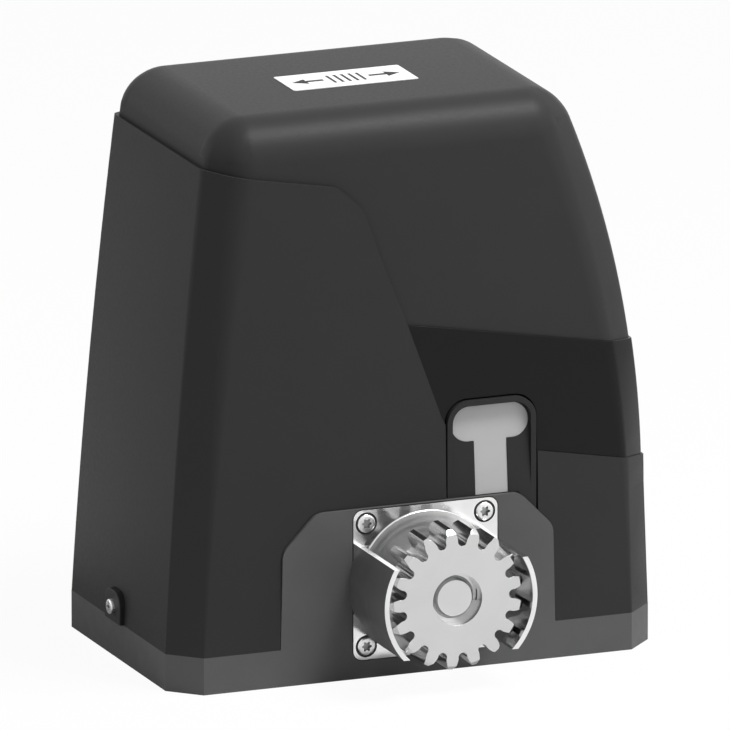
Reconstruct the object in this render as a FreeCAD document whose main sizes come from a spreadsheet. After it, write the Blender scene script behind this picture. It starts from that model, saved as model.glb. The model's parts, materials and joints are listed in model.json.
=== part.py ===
import FreeCAD, Part
import math
import os
import Sketcher
from FreeCAD import Placement, Rotation, Vector

# Sliding gate motor. Front is -Y, where the pinion meets the rack; X runs along the gate; Z is up.
# The origin is the centre of the base's underside. All sizes are in millimetres and degrees.

# ---------------------------------------------------------------- driving sizes

SIZES = [
    # base casting
    ("base_width", 272), ("base_depth", 166), ("base_corner", 15.5), ("base_height", 20),
    ("base_wall", 6), ("floor_thickness", 5), ("lip_height", 14), ("lip_wall", 3), ("lip_setback", 6.5),
    ("slot_spacing_x", 210), ("slot_spacing_y", 104), ("slot_width", 11), ("slot_length", 24),
    ("slot_pad_height", 4), ("slot_pad_margin", 8),
    ("levelling_x", 84), ("levelling_y", 60), ("levelling_diameter", 8), ("levelling_boss", 18),
    ("levelling_boss_height", 10), ("levelling_length", 14), ("thread_gap", 0.2),
    ("cable_x", 106), ("cable_y", 21), ("cable_hole", 26), ("cable_bore", 14),
    # raised front of the base, round the output
    ("tower_half_top", 57), ("tower_half_shoulder", 76), ("tower_half_foot", 77.3), ("tower_top", 91.8),
    ("tower_shoulder", 72.5), ("tower_wall", 10), ("tower_round", 10), ("seam", 0.3),
    ("rib_thickness", 5), ("rib_depth", 26), ("rib_inset", 4),
    # raised back of the base, round the release
    ("rear_half_width", 46), ("rear_top", 92),
    # output axis
    ("output_x", 4), ("output_z", 50.5),
    # output flange with its pinion guard
    ("flange_side", 81), ("flange_corner", 5), ("flange_thickness", 6), ("flange_gap", 0.5),
    ("screw_spacing", 66.5), ("screw_head", 10), ("screw_sink", 12), ("screw_sink_depth", 2.2),
    ("screw_thread", 6), ("screw_reach", 18), ("screw_head_height", 3),
    ("guard_outer", 42.9), ("guard_inner", 40.3), ("guard_reach", 50), ("guard_above", 21),
    ("guard_below", 28.4), ("guard_root_round", 3),
    # pinion and output shaft
    ("pinion_module", 4), ("pinion_teeth", 17), ("pinion_width", 24), ("pinion_reach", 45),
    ("pinion_chamfer", 2.3), ("pinion_recess", 13.8), ("pinion_recess_depth", 7), ("pinion_phase", 95.6),
    ("shaft_nose", 23), ("shaft_nose_chamfer", 1.9), ("shaft_nose_taper", 3), ("shaft_collar", 30), ("shaft_spline", 26),
    ("shaft_flats", 22), ("shaft_wheel_seat", 25), ("shaft_rear", 20), ("shaft_setback", 4),
    ("key_width", 6), ("key_height", 6), ("key_length", 15), ("fit_gap", 0.05), ("part_gap", 0.3),
    ("rod_diameter", 8), ("pin_diameter", 5), ("pin_length", 36),
    # bearings: bore, outside and width of each
    ("front_bearing_outside", 55), ("front_bearing_width", 13), ("seal_width", 5),
    ("rear_bearing_outside", 42), ("rear_bearing_width", 12),
    ("worm_bearing_bore", 15), ("worm_bearing_outside", 35), ("worm_bearing_width", 11),
    # worm and wheel
    ("worm_module", 2.5), ("wheel_teeth", 28), ("wheel_width", 22), ("wheel_y", -12),
    ("worm_pitch_diameter", 22), ("worm_length", 40), ("mesh_play", 0.12), ("throat_gap", 0.6),
    ("bush_outside", 30), ("cone_large", 52), ("cone_small", 48), ("cone_depth", 9), ("clutch_stroke", 3),
    ("clutch_hub", 40), ("clutch_length", 30),
    # gear case
    ("case_wall", 5), ("case_foot_left", 24), ("case_foot_right", 47), ("case_bolt", 6), ("wheel_clearance", 2.5), ("case_back", 36), ("lid_thickness", 7),
    ("lid_lug", 5), ("case_foot", 10), ("worm_case_outside", 46), ("worm_case_top", 92),
    ("motor_seat_thickness", 8), ("spigot_wall", 4.5), ("gasket", 0.5),
    # motor
    ("motor_outside", 104), ("rotor_diameter", 60), ("air_gap", 0.5), ("core_length", 64),
    ("winding_height", 15), ("shield_height", 28), ("shield_wall", 5), ("motor_bolt", 5),
    ("motor_bolt_circle", 94), ("bolt_head_rim", 1.5), ("bolt_head_height", 4), ("bolt_head_drop", 11),
    # cover
    ("cover_top", 302), ("cover_front_top_y", 75), ("cover_back_top_y", 81), ("cover_corner", 15.5),
    ("skirt_step", 2.35), ("band_step", 1.15), ("cover_wall", 3), ("top_round", 23),
    ("left_top_x", 109.0), ("left_middle_x", 126.2), ("left_middle_z", 150), ("right_straight_z", 86), ("right_straight_x", 134.4),
    ("right_middle_x", 127.0), ("right_middle_z", 182), ("right_top_x", 89.6),
    ("front_round_foot", 2), ("front_round_top", 22), ("side_round_foot", 1), ("side_round_top", 8),
    ("seam_left_z", 277), ("seam_left_x", 112), ("seam_slope", 0.182), ("seam_corner_x", 42),
    ("seam_round", 13), ("band_top_z", 187.1), ("band_left_x", 4.1), ("band_slope", 0.177),
    ("band_bottom_z", 112.7), ("band_foot_x", 14.3), ("band_foot_z", 136),
    # limit switch housing
    ("switch_x", 42.4), ("switch_width", 50), ("switch_top", 143.3), ("switch_round", 12),
    ("switch_rim", 3), ("switch_face_y", 80.6), ("switch_depth", 14), ("switch_lean", 5),
    ("switch_gap", 0.8), ("face_width", 43.3), ("face_height", 18.5), ("face_top", 139.5),
    ("stem_width", 18.3), ("face_thickness", 2), ("face_sink", 0.6),
    # cover fixings, label
    ("tab_y", 3), ("tab_width", 22), ("tab_top", 37), ("tab_proud", 2.3), ("tab_screw_z", 28), ("tab_round", 8),
    ("tab_screw_head", 8), ("label_width", 70), ("label_depth", 30), ("label_thickness", 0.4),
    ("label_x", -8), ("label_y", -1),
    # release lever and lock, at the back
    ("lever_hub", 44), ("lever_length", 78), ("lever_thickness", 13), ("lever_width", 22),
    ("spindle", 18), ("lock_x", -30), ("lock_z", 74), ("lock_outside", 16), ("lock_plug", 10),
    # control parts
    ("board_x", 56), ("bracket_foot", 13), ("transformer_x", 80), ("transformer_y", -37), ("board_width", 116), ("board_height", 128), ("board_z", 104), ("board_thickness", 1.6),
    ("bracket_thickness", 3), ("standoff", 6), ("transformer_side", 40), ("transformer_height", 44),
    ("capacitor_diameter", 38), ("capacitor_height", 72), ("capacitor_x", -98), ("capacitor_y", 0),
    ("clamp_height", 14), ("clamp_wall", 2),
]

document = FreeCAD.newDocument("gate_motor")
sheet = document.addObject("Spreadsheet::Sheet", "Sizes")
for row, (alias, number) in enumerate(SIZES, start=1):
    sheet.set("A%d" % row, alias)
    sheet.set("B%d" % row, str(number))
    sheet.setAlias("B%d" % row, alias)
document.recompute()


class Size:
    """A number that also remembers its formula on the sheet, so sums of sizes stay bound to it."""

    def __init__(self, formula, number):
        self.formula = formula
        self.number = float(number)

    @staticmethod
    def of(thing):
        return thing if isinstance(thing, Size) else Size(repr(float(thing)), thing)

    def joined(self, sign, other, number, swap=False):
        first, second = (Size.of(other), self) if swap else (self, Size.of(other))
        return Size("(%s %s %s)" % (first.formula, sign, second.formula), number)

    def __add__(self, other):
        return self.joined("+", other, self.number + float(other))

    __radd__ = __add__

    def __sub__(self, other):
        return self.joined("-", other, self.number - float(other))

    def __rsub__(self, other):
        return self.joined("-", other, float(other) - self.number, swap=True)

    def __mul__(self, other):
        return self.joined("*", other, self.number * float(other))

    __rmul__ = __mul__

    def __truediv__(self, other):
        return self.joined("/", other, self.number / float(other))

    def __neg__(self):
        return self * -1

    def __float__(self):
        return self.number


class Sheet:
    """The sheet's cells as attributes, such as s.base_width."""


s = Sheet()
for alias, number in SIZES:
    setattr(s, alias, Size("Sizes." + alias, sheet.get(alias)))

NODES = {}


def node(name, thing):
    """Name a finished sub-part; its label names its file."""
    thing.Label = name
    NODES[name] = thing
    return thing


def bind(thing, prop, size):
    thing.setExpression(prop, Size.of(size).formula)


# "front" stands an XY outline up in the XZ plane, padded towards -Y; "side" stands it in YZ, padded towards +X.
TURNS = {"z": Rotation(), "y": Rotation(Vector(1, 0, 0), -90), "x": Rotation(Vector(0, 1, 0), 90),
         "front": Rotation(Vector(1, 0, 0), 90), "side": Rotation(Vector(1, 1, 1), 120)}


def place(thing, at, axis="z"):
    """Put a piece at a point, turned by a Rotation or by one of the turns above."""
    turn = axis if isinstance(axis, Rotation) else TURNS[axis]
    thing.Placement = Placement(Vector(*[float(value) for value in at]), turn)
    for letter, value in zip("xyz", at):
        bind(thing, "Placement.Base." + letter, value)
    return thing


def primitive(kind, name, at, axis, **sizes):
    thing = document.addObject("Part::" + kind, name)
    for prop, size in sizes.items():
        bind(thing, prop, size)
    return place(thing, at, axis)


def cylinder(name, radius, height, at, axis="z"):
    return primitive("Cylinder", name, at, axis, Radius=radius, Height=height)


def cone(name, radius1, radius2, height, at, axis="z"):
    return primitive("Cone", name, at, axis, Radius1=radius1, Radius2=radius2, Height=height)


def box(name, at, sides):
    return primitive("Box", name, at, "z", Length=sides[0], Width=sides[1], Height=sides[2])


def fuse(name, shapes):
    thing = document.addObject("Part::MultiFuse", name)
    thing.Shapes = shapes
    thing.Refine = True
    return thing


def cut(name, base, tools):
    tool = tools[0] if len(tools) == 1 else fuse(name + "_tools", tools)
    thing = document.addObject("Part::Cut", name)
    thing.Base = base
    thing.Tool = tool
    thing.Refine = True
    return thing


def common(name, first, second):
    thing = document.addObject("Part::Common", name)
    thing.Base = first
    thing.Tool = second
    return thing


def group(name, members):
    thing = document.addObject("Part::Compound", name)
    thing.Links = members
    return thing


def bound_polygon(sketch, points):
    """A closed outline whose corners are held at sizes from the sheet."""
    count = len(points)
    first = [Vector(math.cos(2 * math.pi * i / count), math.sin(2 * math.pi * i / count), 0) * 10
             for i in range(count)]
    start = sketch.GeometryCount
    for i in range(count):
        sketch.addGeometry(Part.LineSegment(first[i], first[(i + 1) % count]), False)
    for i in range(count):
        following = start + (i + 1) % count
        sketch.addConstraint(Sketcher.Constraint("Coincident", start + i, 2, following, 1))
    for i, corner in enumerate(points):
        for kind, value in zip(("DistanceX", "DistanceY"), corner):
            number = float(value)
            index = sketch.addConstraint(Sketcher.Constraint(kind, -1, 1, start + i, 1, number))
            sketch.setExpression("Constraints[%d]" % index, Size.of(value).formula)


def body_sketch(body, name, role):
    sketch = body.newObject("Sketcher::SketchObject", name)
    plane = [item for item in body.Origin.OriginFeatures if item.Role == role][0]
    sketch.AttachmentSupport = [(plane, "")]
    sketch.MapMode = "FlatFace"
    return sketch


def turned(name, profile, at=(0, 0, 0), axis="z"):
    """A turned piece: (radius, height) corners revolved round its own Z."""
    body = document.addObject("PartDesign::Body", name)
    sketch = body_sketch(body, name + "_profile", "XZ_Plane")
    bound_polygon(sketch, profile)
    feature = body.newObject("PartDesign::Revolution", name + "_turning")
    feature.Profile = sketch
    feature.ReferenceAxis = (sketch, ["V_Axis"])
    feature.Angle = 360
    return place(body, at, axis)


def padded(name, outline, thickness, at=(0, 0, 0), axis="z"):
    """A plate: an outline in its own XY plane, padded along its own Z."""
    body = document.addObject("PartDesign::Body", name)
    sketch = body_sketch(body, name + "_outline", "XY_Plane")
    bound_polygon(sketch, outline)
    feature = body.newObject("PartDesign::Pad", name + "_pad")
    feature.Profile = sketch
    bind(feature, "Length", thickness)
    return place(body, at, axis)


def corner_edges(feature, corners, across=0.5):
    """Names of the straight edges along a plate's thickness that stand at the given corners."""
    names = []
    for index, edge in enumerate(feature.Shape.Edges, start=1):
        first, last = edge.Vertexes[0].Point, edge.Vertexes[-1].Point
        if abs(first.z - last.z) < 1e-6:
            continue
        for x, y in corners:
            if math.hypot(first.x - float(x), first.y - float(y)) < across:
                names.append("Edge%d" % index)
                break
    return names


def rounded(body, corners, radius):
    """Round the corners of a padded plate."""
    document.recompute()
    base = body.Tip
    feature = body.newObject("PartDesign::Fillet", body.Name + "_round")
    feature.Base = (base, corner_edges(base, corners))
    bind(feature, "Radius", radius)
    document.recompute()
    return body


def octagon(half_x, half_y, corner):
    return [(half_x - corner, -half_y), (half_x, -half_y + corner), (half_x, half_y - corner),
            (half_x - corner, half_y), (-half_x + corner, half_y), (-half_x, half_y - corner),
            (-half_x, -half_y + corner), (-half_x + corner, -half_y)]


def rectangle(x0, y0, x1, y1):
    return [(x0, y0), (x1, y0), (x1, y1), (x0, y1)]


def corners_of(offset_x, offset_y):
    """The four places of a rectangular pattern."""
    return [(sx * offset_x, sy * offset_y) for sx in (-1, 1) for sy in (-1, 1)]


SETBACK = 2 - math.sqrt(2)
FRONT = -s.base_depth / 2
BACK = s.base_depth / 2
OUT_X = s.output_x
OUT_Z = s.output_z

# ---------------------------------------------------------------- base casting


def inset_octagon(inset):
    return octagon(s.base_width / 2 - inset, s.base_depth / 2 - inset, s.base_corner - inset * SETBACK)


def tower_outline(grow):
    """The raised front of the base; the cover is cut round the same outline, grown by the seam."""
    shoulder = s.tower_half_shoulder + grow
    return [(-s.tower_half_foot - grow, s.base_height), (s.tower_half_foot + grow, s.base_height),
            (shoulder, s.tower_shoulder + grow * 0.4), (s.tower_half_top + grow * 0.4, s.tower_top + grow),
            (-s.tower_half_top - grow * 0.4, s.tower_top + grow), (-shoulder, s.tower_shoulder + grow * 0.4)]


def tower_plate(name, grow, thickness, back):
    outline = tower_outline(grow)
    plate = padded(name, outline, thickness, (0, back, 0), "front")
    return rounded(plate, outline[2:], s.tower_round)


def rear_plate(name, grow, thickness, back):
    half = s.rear_half_width + grow
    outline = rectangle(-half + OUT_X, s.base_height, half + OUT_X, s.rear_top + grow)
    plate = padded(name, outline, thickness, (0, back, 0), "front")
    return rounded(plate, outline[2:], s.tower_round)


def make_base():
    lip_top = s.base_height + s.lip_height
    lip_inside = s.lip_setback + s.lip_wall
    foot = padded("base_foot", inset_octagon(0), s.base_height)
    lip = padded("base_lip", inset_octagon(s.lip_setback), lip_top)
    hollow = padded("base_hollow", inset_octagon(lip_inside), lip_top, (0, 0, s.floor_thickness))
    tray = cut("base_tray", fuse("base_blank", [foot, lip]), [hollow])

    wall_back = FRONT + s.tower_wall
    rear_front = BACK - s.tower_wall
    parts = [tray, tower_plate("base_tower", 0, s.tower_wall, wall_back),
             rear_plate("base_rear", 0, s.tower_wall, BACK),
             box("tower_root", (-s.tower_half_foot, FRONT, 0), (s.tower_half_foot * 2, s.tower_wall,
                                                               s.base_height)),
             box("rear_root", (OUT_X - s.rear_half_width, rear_front, 0),
                 (s.rear_half_width * 2, s.tower_wall, s.base_height))]
    # Ribs tie the raised front and back to the floor.
    inset = s.rib_inset
    for side, x in (("left", -s.tower_half_shoulder + inset),
                    ("right", s.tower_half_shoulder - inset - s.rib_thickness)):
        parts.append(padded("front_rib_" + side, [(0, 0), (s.rib_depth, 0), (0, s.tower_shoulder - inset * 2)],
                            s.rib_thickness, (x, wall_back, s.floor_thickness), "side"))
    for index, (x, y) in enumerate(corners_of(s.slot_spacing_x / 2, s.slot_spacing_y / 2)):
        half_x = s.slot_length / 2 + s.slot_pad_margin - 4
        half_y = s.slot_width / 2 + s.slot_pad_margin
        parts.append(box("slot_pad_%d" % index, (x - half_x, y - half_y, 0),
                         (half_x * 2, half_y * 2, s.floor_thickness + s.slot_pad_height)))
    for index, (x, y) in enumerate(corners_of(s.levelling_x, s.levelling_y)):
        parts.append(cylinder("levelling_boss_%d" % index, s.levelling_boss / 2,
                              s.floor_thickness + s.levelling_boss_height, (x, y, 0)))

    tools = []
    deep = s.base_height * 2
    for index, (x, y) in enumerate(corners_of(s.slot_spacing_x / 2, s.slot_spacing_y / 2)):
        reach = s.slot_length / 2 - s.slot_width / 2
        tools.append(box("slot_middle_%d" % index, (x - reach, y - s.slot_width / 2, -deep / 2),
                         (reach * 2, s.slot_width, deep)))
        for side in (-1, 1):
            tools.append(cylinder("slot_end_%d_%d" % (index, side), s.slot_width / 2, deep,
                                  (x + side * reach, y, -deep / 2)))
    for index, (x, y) in enumerate(corners_of(s.levelling_x, s.levelling_y)):
        tools.append(cylinder("levelling_hole_%d" % index, s.levelling_diameter / 2 + s.thread_gap, deep,
                              (x, y, -deep / 2)))
    tools.append(cylinder("cable_hole_cut", s.cable_hole / 2, deep, (s.cable_x, s.cable_y, -deep / 2)))
    for index, (x, y) in enumerate(case_bolt_places()):
        tools.append(cylinder("base_case_bolt_hole_%d" % index, s.case_bolt / 2 + 0.2, s.floor_thickness,
                              (x, y, 1)))
    # The output flange sits flush in a square pocket, and the gear case's spigot comes through behind it.
    half = s.flange_side / 2 + s.flange_gap
    pocket = padded("flange_pocket", rectangle(-half, -half, half, half), s.flange_thickness * 2,
                    (OUT_X, FRONT + s.flange_thickness, OUT_Z), "front")
    tools.append(rounded(pocket, rectangle(-half, -half, half, half), s.flange_corner + s.flange_gap))
    tools.append(cylinder("spigot_hole", spigot_radius() + s.seam, s.tower_wall * 2,
                          (OUT_X, FRONT - s.tower_wall / 2, OUT_Z), "y"))
    for index, (x, z) in enumerate(corners_of(s.screw_spacing / 2, s.screw_spacing / 2)):
        tools.append(cylinder("flange_screw_hole_%d" % index, s.screw_thread / 2 + s.thread_gap,
                              s.tower_wall * 2, (OUT_X + x, FRONT - s.tower_wall / 2, OUT_Z + z), "y"))
    tools.append(cylinder("spindle_hole", s.spindle / 2 + s.fit_gap, s.tower_wall * 2,
                          (OUT_X, rear_front - s.tower_wall / 2, OUT_Z), "y"))
    tools.append(cylinder("lock_hole", s.lock_outside / 2, s.tower_wall * 2,
                          (OUT_X + s.lock_x, rear_front - s.tower_wall / 2, s.lock_z), "y"))
    for side in (-1, 1):
        tools.append(cylinder("tab_screw_hole_%d" % side, 2.2, s.base_wall * 4,
                              (side * (s.base_width / 2 - 3) - s.base_wall * 2, s.tab_y, s.tab_screw_z), "x"))
    node("base_casting", cut("base_casting", fuse("base_solid", parts), tools))


def spigot_radius():
    return s.front_bearing_outside / 2 + s.spigot_wall


def make_base_fittings():
    screws = []
    for index, (x, y) in enumerate(corners_of(s.levelling_x, s.levelling_y)):
        radius = s.levelling_diameter / 2
        screws.append(turned("levelling_screw_%d" % index,
                             [(0, 0), (radius - 1, 0), (radius, 1), (radius, s.levelling_length),
                              (2, s.levelling_length), (2, s.levelling_length - 4), (0, s.levelling_length - 4)],
                             (x, y, 0.5)))
    node("levelling_screws", group("levelling_screws", screws))
    radius = s.cable_hole / 2
    node("cable_grommet", turned("cable_grommet", [
        (s.cable_bore / 2, 0.4), (radius - 0.2, 0.4), (radius - 0.2, s.floor_thickness),
        (radius + 3, s.floor_thickness), (radius + 3, s.floor_thickness + 2),
        (radius - 3, s.floor_thickness + 4), (s.cable_bore / 2 + 2, s.floor_thickness + 7),
        (s.cable_bore / 2, s.floor_thickness + 7)], (s.cable_x, s.cable_y, 0)))


# ---------------------------------------------------------------- output flange with its guard


def make_flange():
    half = s.flange_side / 2
    face_back = FRONT + s.flange_thickness
    square = rectangle(-half, -half, half, half)
    plate = rounded(padded("flange_plate", square, s.flange_thickness, (OUT_X, face_back, OUT_Z), "front"),
                    square, s.flange_corner)
    # The guard is a tube with a rounded root, cut level above and below the pinion.
    reach = s.guard_reach
    root = s.guard_root_round
    tube = turned("guard_tube", [
        (s.guard_inner - root, -1), (s.guard_outer, -1), (s.guard_outer, reach), (s.guard_inner, reach),
        (s.guard_inner, root), (s.guard_inner - root * 0.3, root * 0.3), (s.guard_inner - root, 0)],
        (OUT_X, FRONT, OUT_Z), "front")
    window_height = s.guard_outer * 2
    above = box("guard_above", (OUT_X - s.guard_outer - 1, FRONT - reach - 1, OUT_Z + s.guard_above),
                (s.guard_outer * 2 + 2, reach + 1, window_height))
    below = box("guard_below", (OUT_X - s.guard_outer - 1, FRONT - reach - 1,
                                OUT_Z - s.guard_below - window_height),
                (s.guard_outer * 2 + 2, reach + 1, window_height))
    # Below the pinion the tube's buried end would stand out of the plate's sides, so it is trimmed to it.
    buried = box("guard_buried", (OUT_X - half - 5, FRONT, OUT_Z - half - 5), (half * 2 + 10, 2, half * 2 + 10))
    guard = cut("guard", tube, [above, below, buried])
    tools = [cylinder("flange_bore", s.shaft_collar / 2 + 1, s.flange_thickness * 2,
                      (OUT_X, FRONT - s.flange_thickness / 2, OUT_Z), "y")]
    for index, (x, z) in enumerate(corners_of(s.screw_spacing / 2, s.screw_spacing / 2)):
        place_x, place_z = OUT_X + x, OUT_Z + z
        tools.append(cylinder("flange_sink_%d" % index, s.screw_sink / 2, s.screw_sink_depth + 1,
                              (place_x, FRONT - 1, place_z), "y"))
        tools.append(cylinder("flange_hole_%d" % index, s.screw_thread / 2 + s.thread_gap,
                              s.flange_thickness * 2, (place_x, FRONT, place_z), "y"))
    node("output_flange", cut("output_flange", fuse("flange_solid", [plate, guard]), tools))

    screws = []
    for index, (x, z) in enumerate(corners_of(s.screw_spacing / 2, s.screw_spacing / 2)):
        head = s.screw_head / 2
        thread = s.screw_thread / 2
        seat = FRONT + s.screw_sink_depth
        screws.append(turned("flange_screw_%d" % index, [
            (0, -s.screw_reach), (thread - 0.8, -s.screw_reach), (thread, 0.8 - s.screw_reach), (thread, 0),
            (head, 0), (head, s.screw_head_height * 0.5), (head * 0.8, s.screw_head_height * 0.9),
            (head * 0.45, s.screw_head_height), (head * 0.45, s.screw_head_height - 1.6),
            (0, s.screw_head_height - 1.6)],
            (OUT_X + x, seat, OUT_Z + z), "front"))
    node("flange_screws", group("flange_screws", screws))


# ---------------------------------------------------------------- gears


def involute(angle):
    return math.tan(angle) - angle


def gear_wire(module, teeth, play, tip_extra=0.0, turn=0.0, height=0.0):
    """A gear's outline: involute flanks as arcs, round-bottomed gaps; a tooth is centred at angle 'turn'."""
    pitch = module * teeth / 2
    base = pitch * math.cos(math.radians(20))
    tip = pitch + module + tip_extra
    root = pitch - 1.25 * module
    half_pitch = math.pi / 2 / teeth - play / pitch + involute(math.radians(20))
    start = max(base, root + 0.3 * module)

    def half_tooth(radius):
        return half_pitch - involute(math.acos(min(1.0, base / radius)))

    def point(radius, angle):
        return Vector(radius * math.cos(angle), radius * math.sin(angle), height)

    edges = []
    step = 2 * math.pi / teeth
    for index in range(teeth):
        middle = math.radians(turn) + index * step
        low, mid, high = start, (start + tip) / 2, tip
        rising = [point(radius, middle - half_tooth(radius)) for radius in (low, mid, high)]
        falling = [point(radius, middle + half_tooth(radius)) for radius in (high, mid, low)]
        following = point(low, middle + step - half_tooth(low))
        edges.append(Part.Arc(*rising).toShape())
        edges.append(Part.Arc(rising[2], point(tip, middle), falling[0]).toShape())
        edges.append(Part.Arc(*falling).toShape())
        edges.append(Part.Arc(falling[2], point(root, middle + step / 2), following).toShape())
    return Part.Wire(edges)


def feature(name, shape, at=(0, 0, 0), axis="z"):
    thing = document.addObject("Part::Feature", name)
    thing.Shape = shape
    return place(thing, at, axis)


PINION_FRONT = FRONT - s.pinion_reach
PINION_BACK = PINION_FRONT + s.pinion_width


def make_pinion():
    module, teeth = float(s.pinion_module), int(float(s.pinion_teeth))
    prism = Part.Face(gear_wire(module, teeth, 0.0, 0.0, float(s.pinion_phase))).extrude(
        Vector(0, 0, float(s.pinion_width)))
    teeth_block = feature("pinion_teeth_block", prism, (OUT_X, PINION_BACK, OUT_Z), "front")
    tip = (s.pinion_module * s.pinion_teeth) / 2 + s.pinion_module
    bore = s.shaft_nose / 2 + s.fit_gap
    width = s.pinion_width
    blank = turned("pinion_blank", [
        (bore, 0), (tip - s.pinion_chamfer, 0), (tip, s.pinion_chamfer), (tip, width - s.pinion_chamfer),
        (tip - s.pinion_chamfer, width), (s.pinion_recess, width),
        (s.pinion_recess, width - s.pinion_recess_depth), (bore, width - s.pinion_recess_depth)],
        (OUT_X, PINION_BACK, OUT_Z), "front")
    keyway = box("pinion_keyway", (OUT_X, PINION_FRONT + s.pinion_recess_depth, OUT_Z - s.key_width / 2),
                 (s.shaft_nose / 2 + s.key_height / 2, width, s.key_width))
    node("pinion", cut("pinion", common("pinion_gear", teeth_block, blank), [keyway]))
    length = s.key_length
    node("pinion_key", box("pinion_key", (OUT_X + s.shaft_nose / 2 - s.key_height / 2,
                                          PINION_BACK - 1 - length, OUT_Z - s.key_width / 2),
                           (s.key_height - s.fit_gap, length, s.key_width)))


CASE_FRONT = FRONT + s.tower_wall
SEAL_FRONT = FRONT + s.flange_thickness
BEARING_FRONT = SEAL_FRONT + s.seal_width
BEARING_BACK = BEARING_FRONT + s.front_bearing_width
WHEEL_FRONT = s.wheel_y - s.wheel_width / 2
WHEEL_BACK = s.wheel_y + s.wheel_width / 2
SHAFT_BACK = s.case_back + s.lid_thickness - 1
REAR_BEARING_FRONT = SHAFT_BACK - s.rear_bearing_width
CONE_BACK = WHEEL_FRONT + s.cone_depth - s.fit_gap
CLUTCH_FRONT = CONE_BACK - s.clutch_length
PIN_Y = CLUTCH_FRONT + s.pin_diameter / 2 + 3


def make_output_shaft():
    start = PINION_FRONT + s.shaft_setback
    nose, collar = s.shaft_nose / 2, s.shaft_collar / 2
    stations = [
        (0, start), (nose - s.shaft_nose_chamfer, start), (nose, start + s.shaft_nose_taper),
        (nose, PINION_BACK), (collar, PINION_BACK), (collar, BEARING_BACK),
        (collar + 3, BEARING_BACK), (collar + 3, BEARING_BACK + 3), (s.shaft_spline / 2, BEARING_BACK + 3),
        (s.shaft_spline / 2, WHEEL_FRONT + s.cone_depth), (s.shaft_wheel_seat / 2, WHEEL_FRONT + s.cone_depth),
        (s.shaft_wheel_seat / 2, WHEEL_BACK + 3), (s.shaft_rear / 2, WHEEL_BACK + 3),
        (s.shaft_rear / 2, SHAFT_BACK), (0, SHAFT_BACK)]
    blank = turned("shaft_blank", stations, (OUT_X, 0, OUT_Z), "y")
    tools = [box("shaft_keyseat", (OUT_X + nose - s.key_height / 2, PINION_BACK - 1 - s.key_length,
                                   OUT_Z - s.key_width / 2), (s.key_height, s.key_length, s.key_width))]
    flat_start = BEARING_BACK + 3
    flat_length = WHEEL_FRONT + s.cone_depth - flat_start
    for side in (-1, 1):
        tools.append(box("shaft_flat_%d" % side,
                         (OUT_X - 20, flat_start, OUT_Z + side * (s.shaft_flats / 2 + 5) - 5),
                         (40, flat_length, 10)))
    rod_bore = s.rod_diameter / 2 + s.fit_gap
    bore_front = PIN_Y - s.clutch_stroke - s.pin_diameter
    tools.append(cylinder("shaft_rod_bore", rod_bore, SHAFT_BACK - bore_front + 1,
                          (OUT_X, bore_front, OUT_Z), "y"))
    slot_radius = s.pin_diameter / 2 + s.fit_gap
    tools.append(cylinder("pin_slot_back", slot_radius, 60, (OUT_X - 30, PIN_Y, OUT_Z), "x"))
    tools.append(cylinder("pin_slot_front", slot_radius, 60, (OUT_X - 30, PIN_Y - s.clutch_stroke, OUT_Z), "x"))
    tools.append(box("pin_slot_middle", (OUT_X - 30, PIN_Y - s.clutch_stroke, OUT_Z - slot_radius),
                     (60, s.clutch_stroke, slot_radius * 2)))
    groove = turned("circlip_groove", [(s.shaft_wheel_seat / 2 - 1, 0), (s.shaft_wheel_seat / 2 + 2, 0),
                                       (s.shaft_wheel_seat / 2 + 2, 1.4), (s.shaft_wheel_seat / 2 - 1, 1.4)],
                    (OUT_X, WHEEL_BACK + 1, OUT_Z), "y")
    tools.append(groove)
    node("output_shaft", cut("output_shaft", blank, tools))
    ring = turned("wheel_circlip_ring", [(s.shaft_wheel_seat / 2 - 0.9, 0), (s.shaft_wheel_seat / 2 + 3, 0),
                                         (s.shaft_wheel_seat / 2 + 3, 1.2), (s.shaft_wheel_seat / 2 - 0.9, 1.2)],
                  (OUT_X, WHEEL_BACK + 1.1, OUT_Z), "y")
    gap = box("circlip_opening", (OUT_X - 3, WHEEL_BACK, OUT_Z), (6, 4, 20))
    node("wheel_circlip", cut("wheel_circlip", ring, [gap]))


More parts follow.
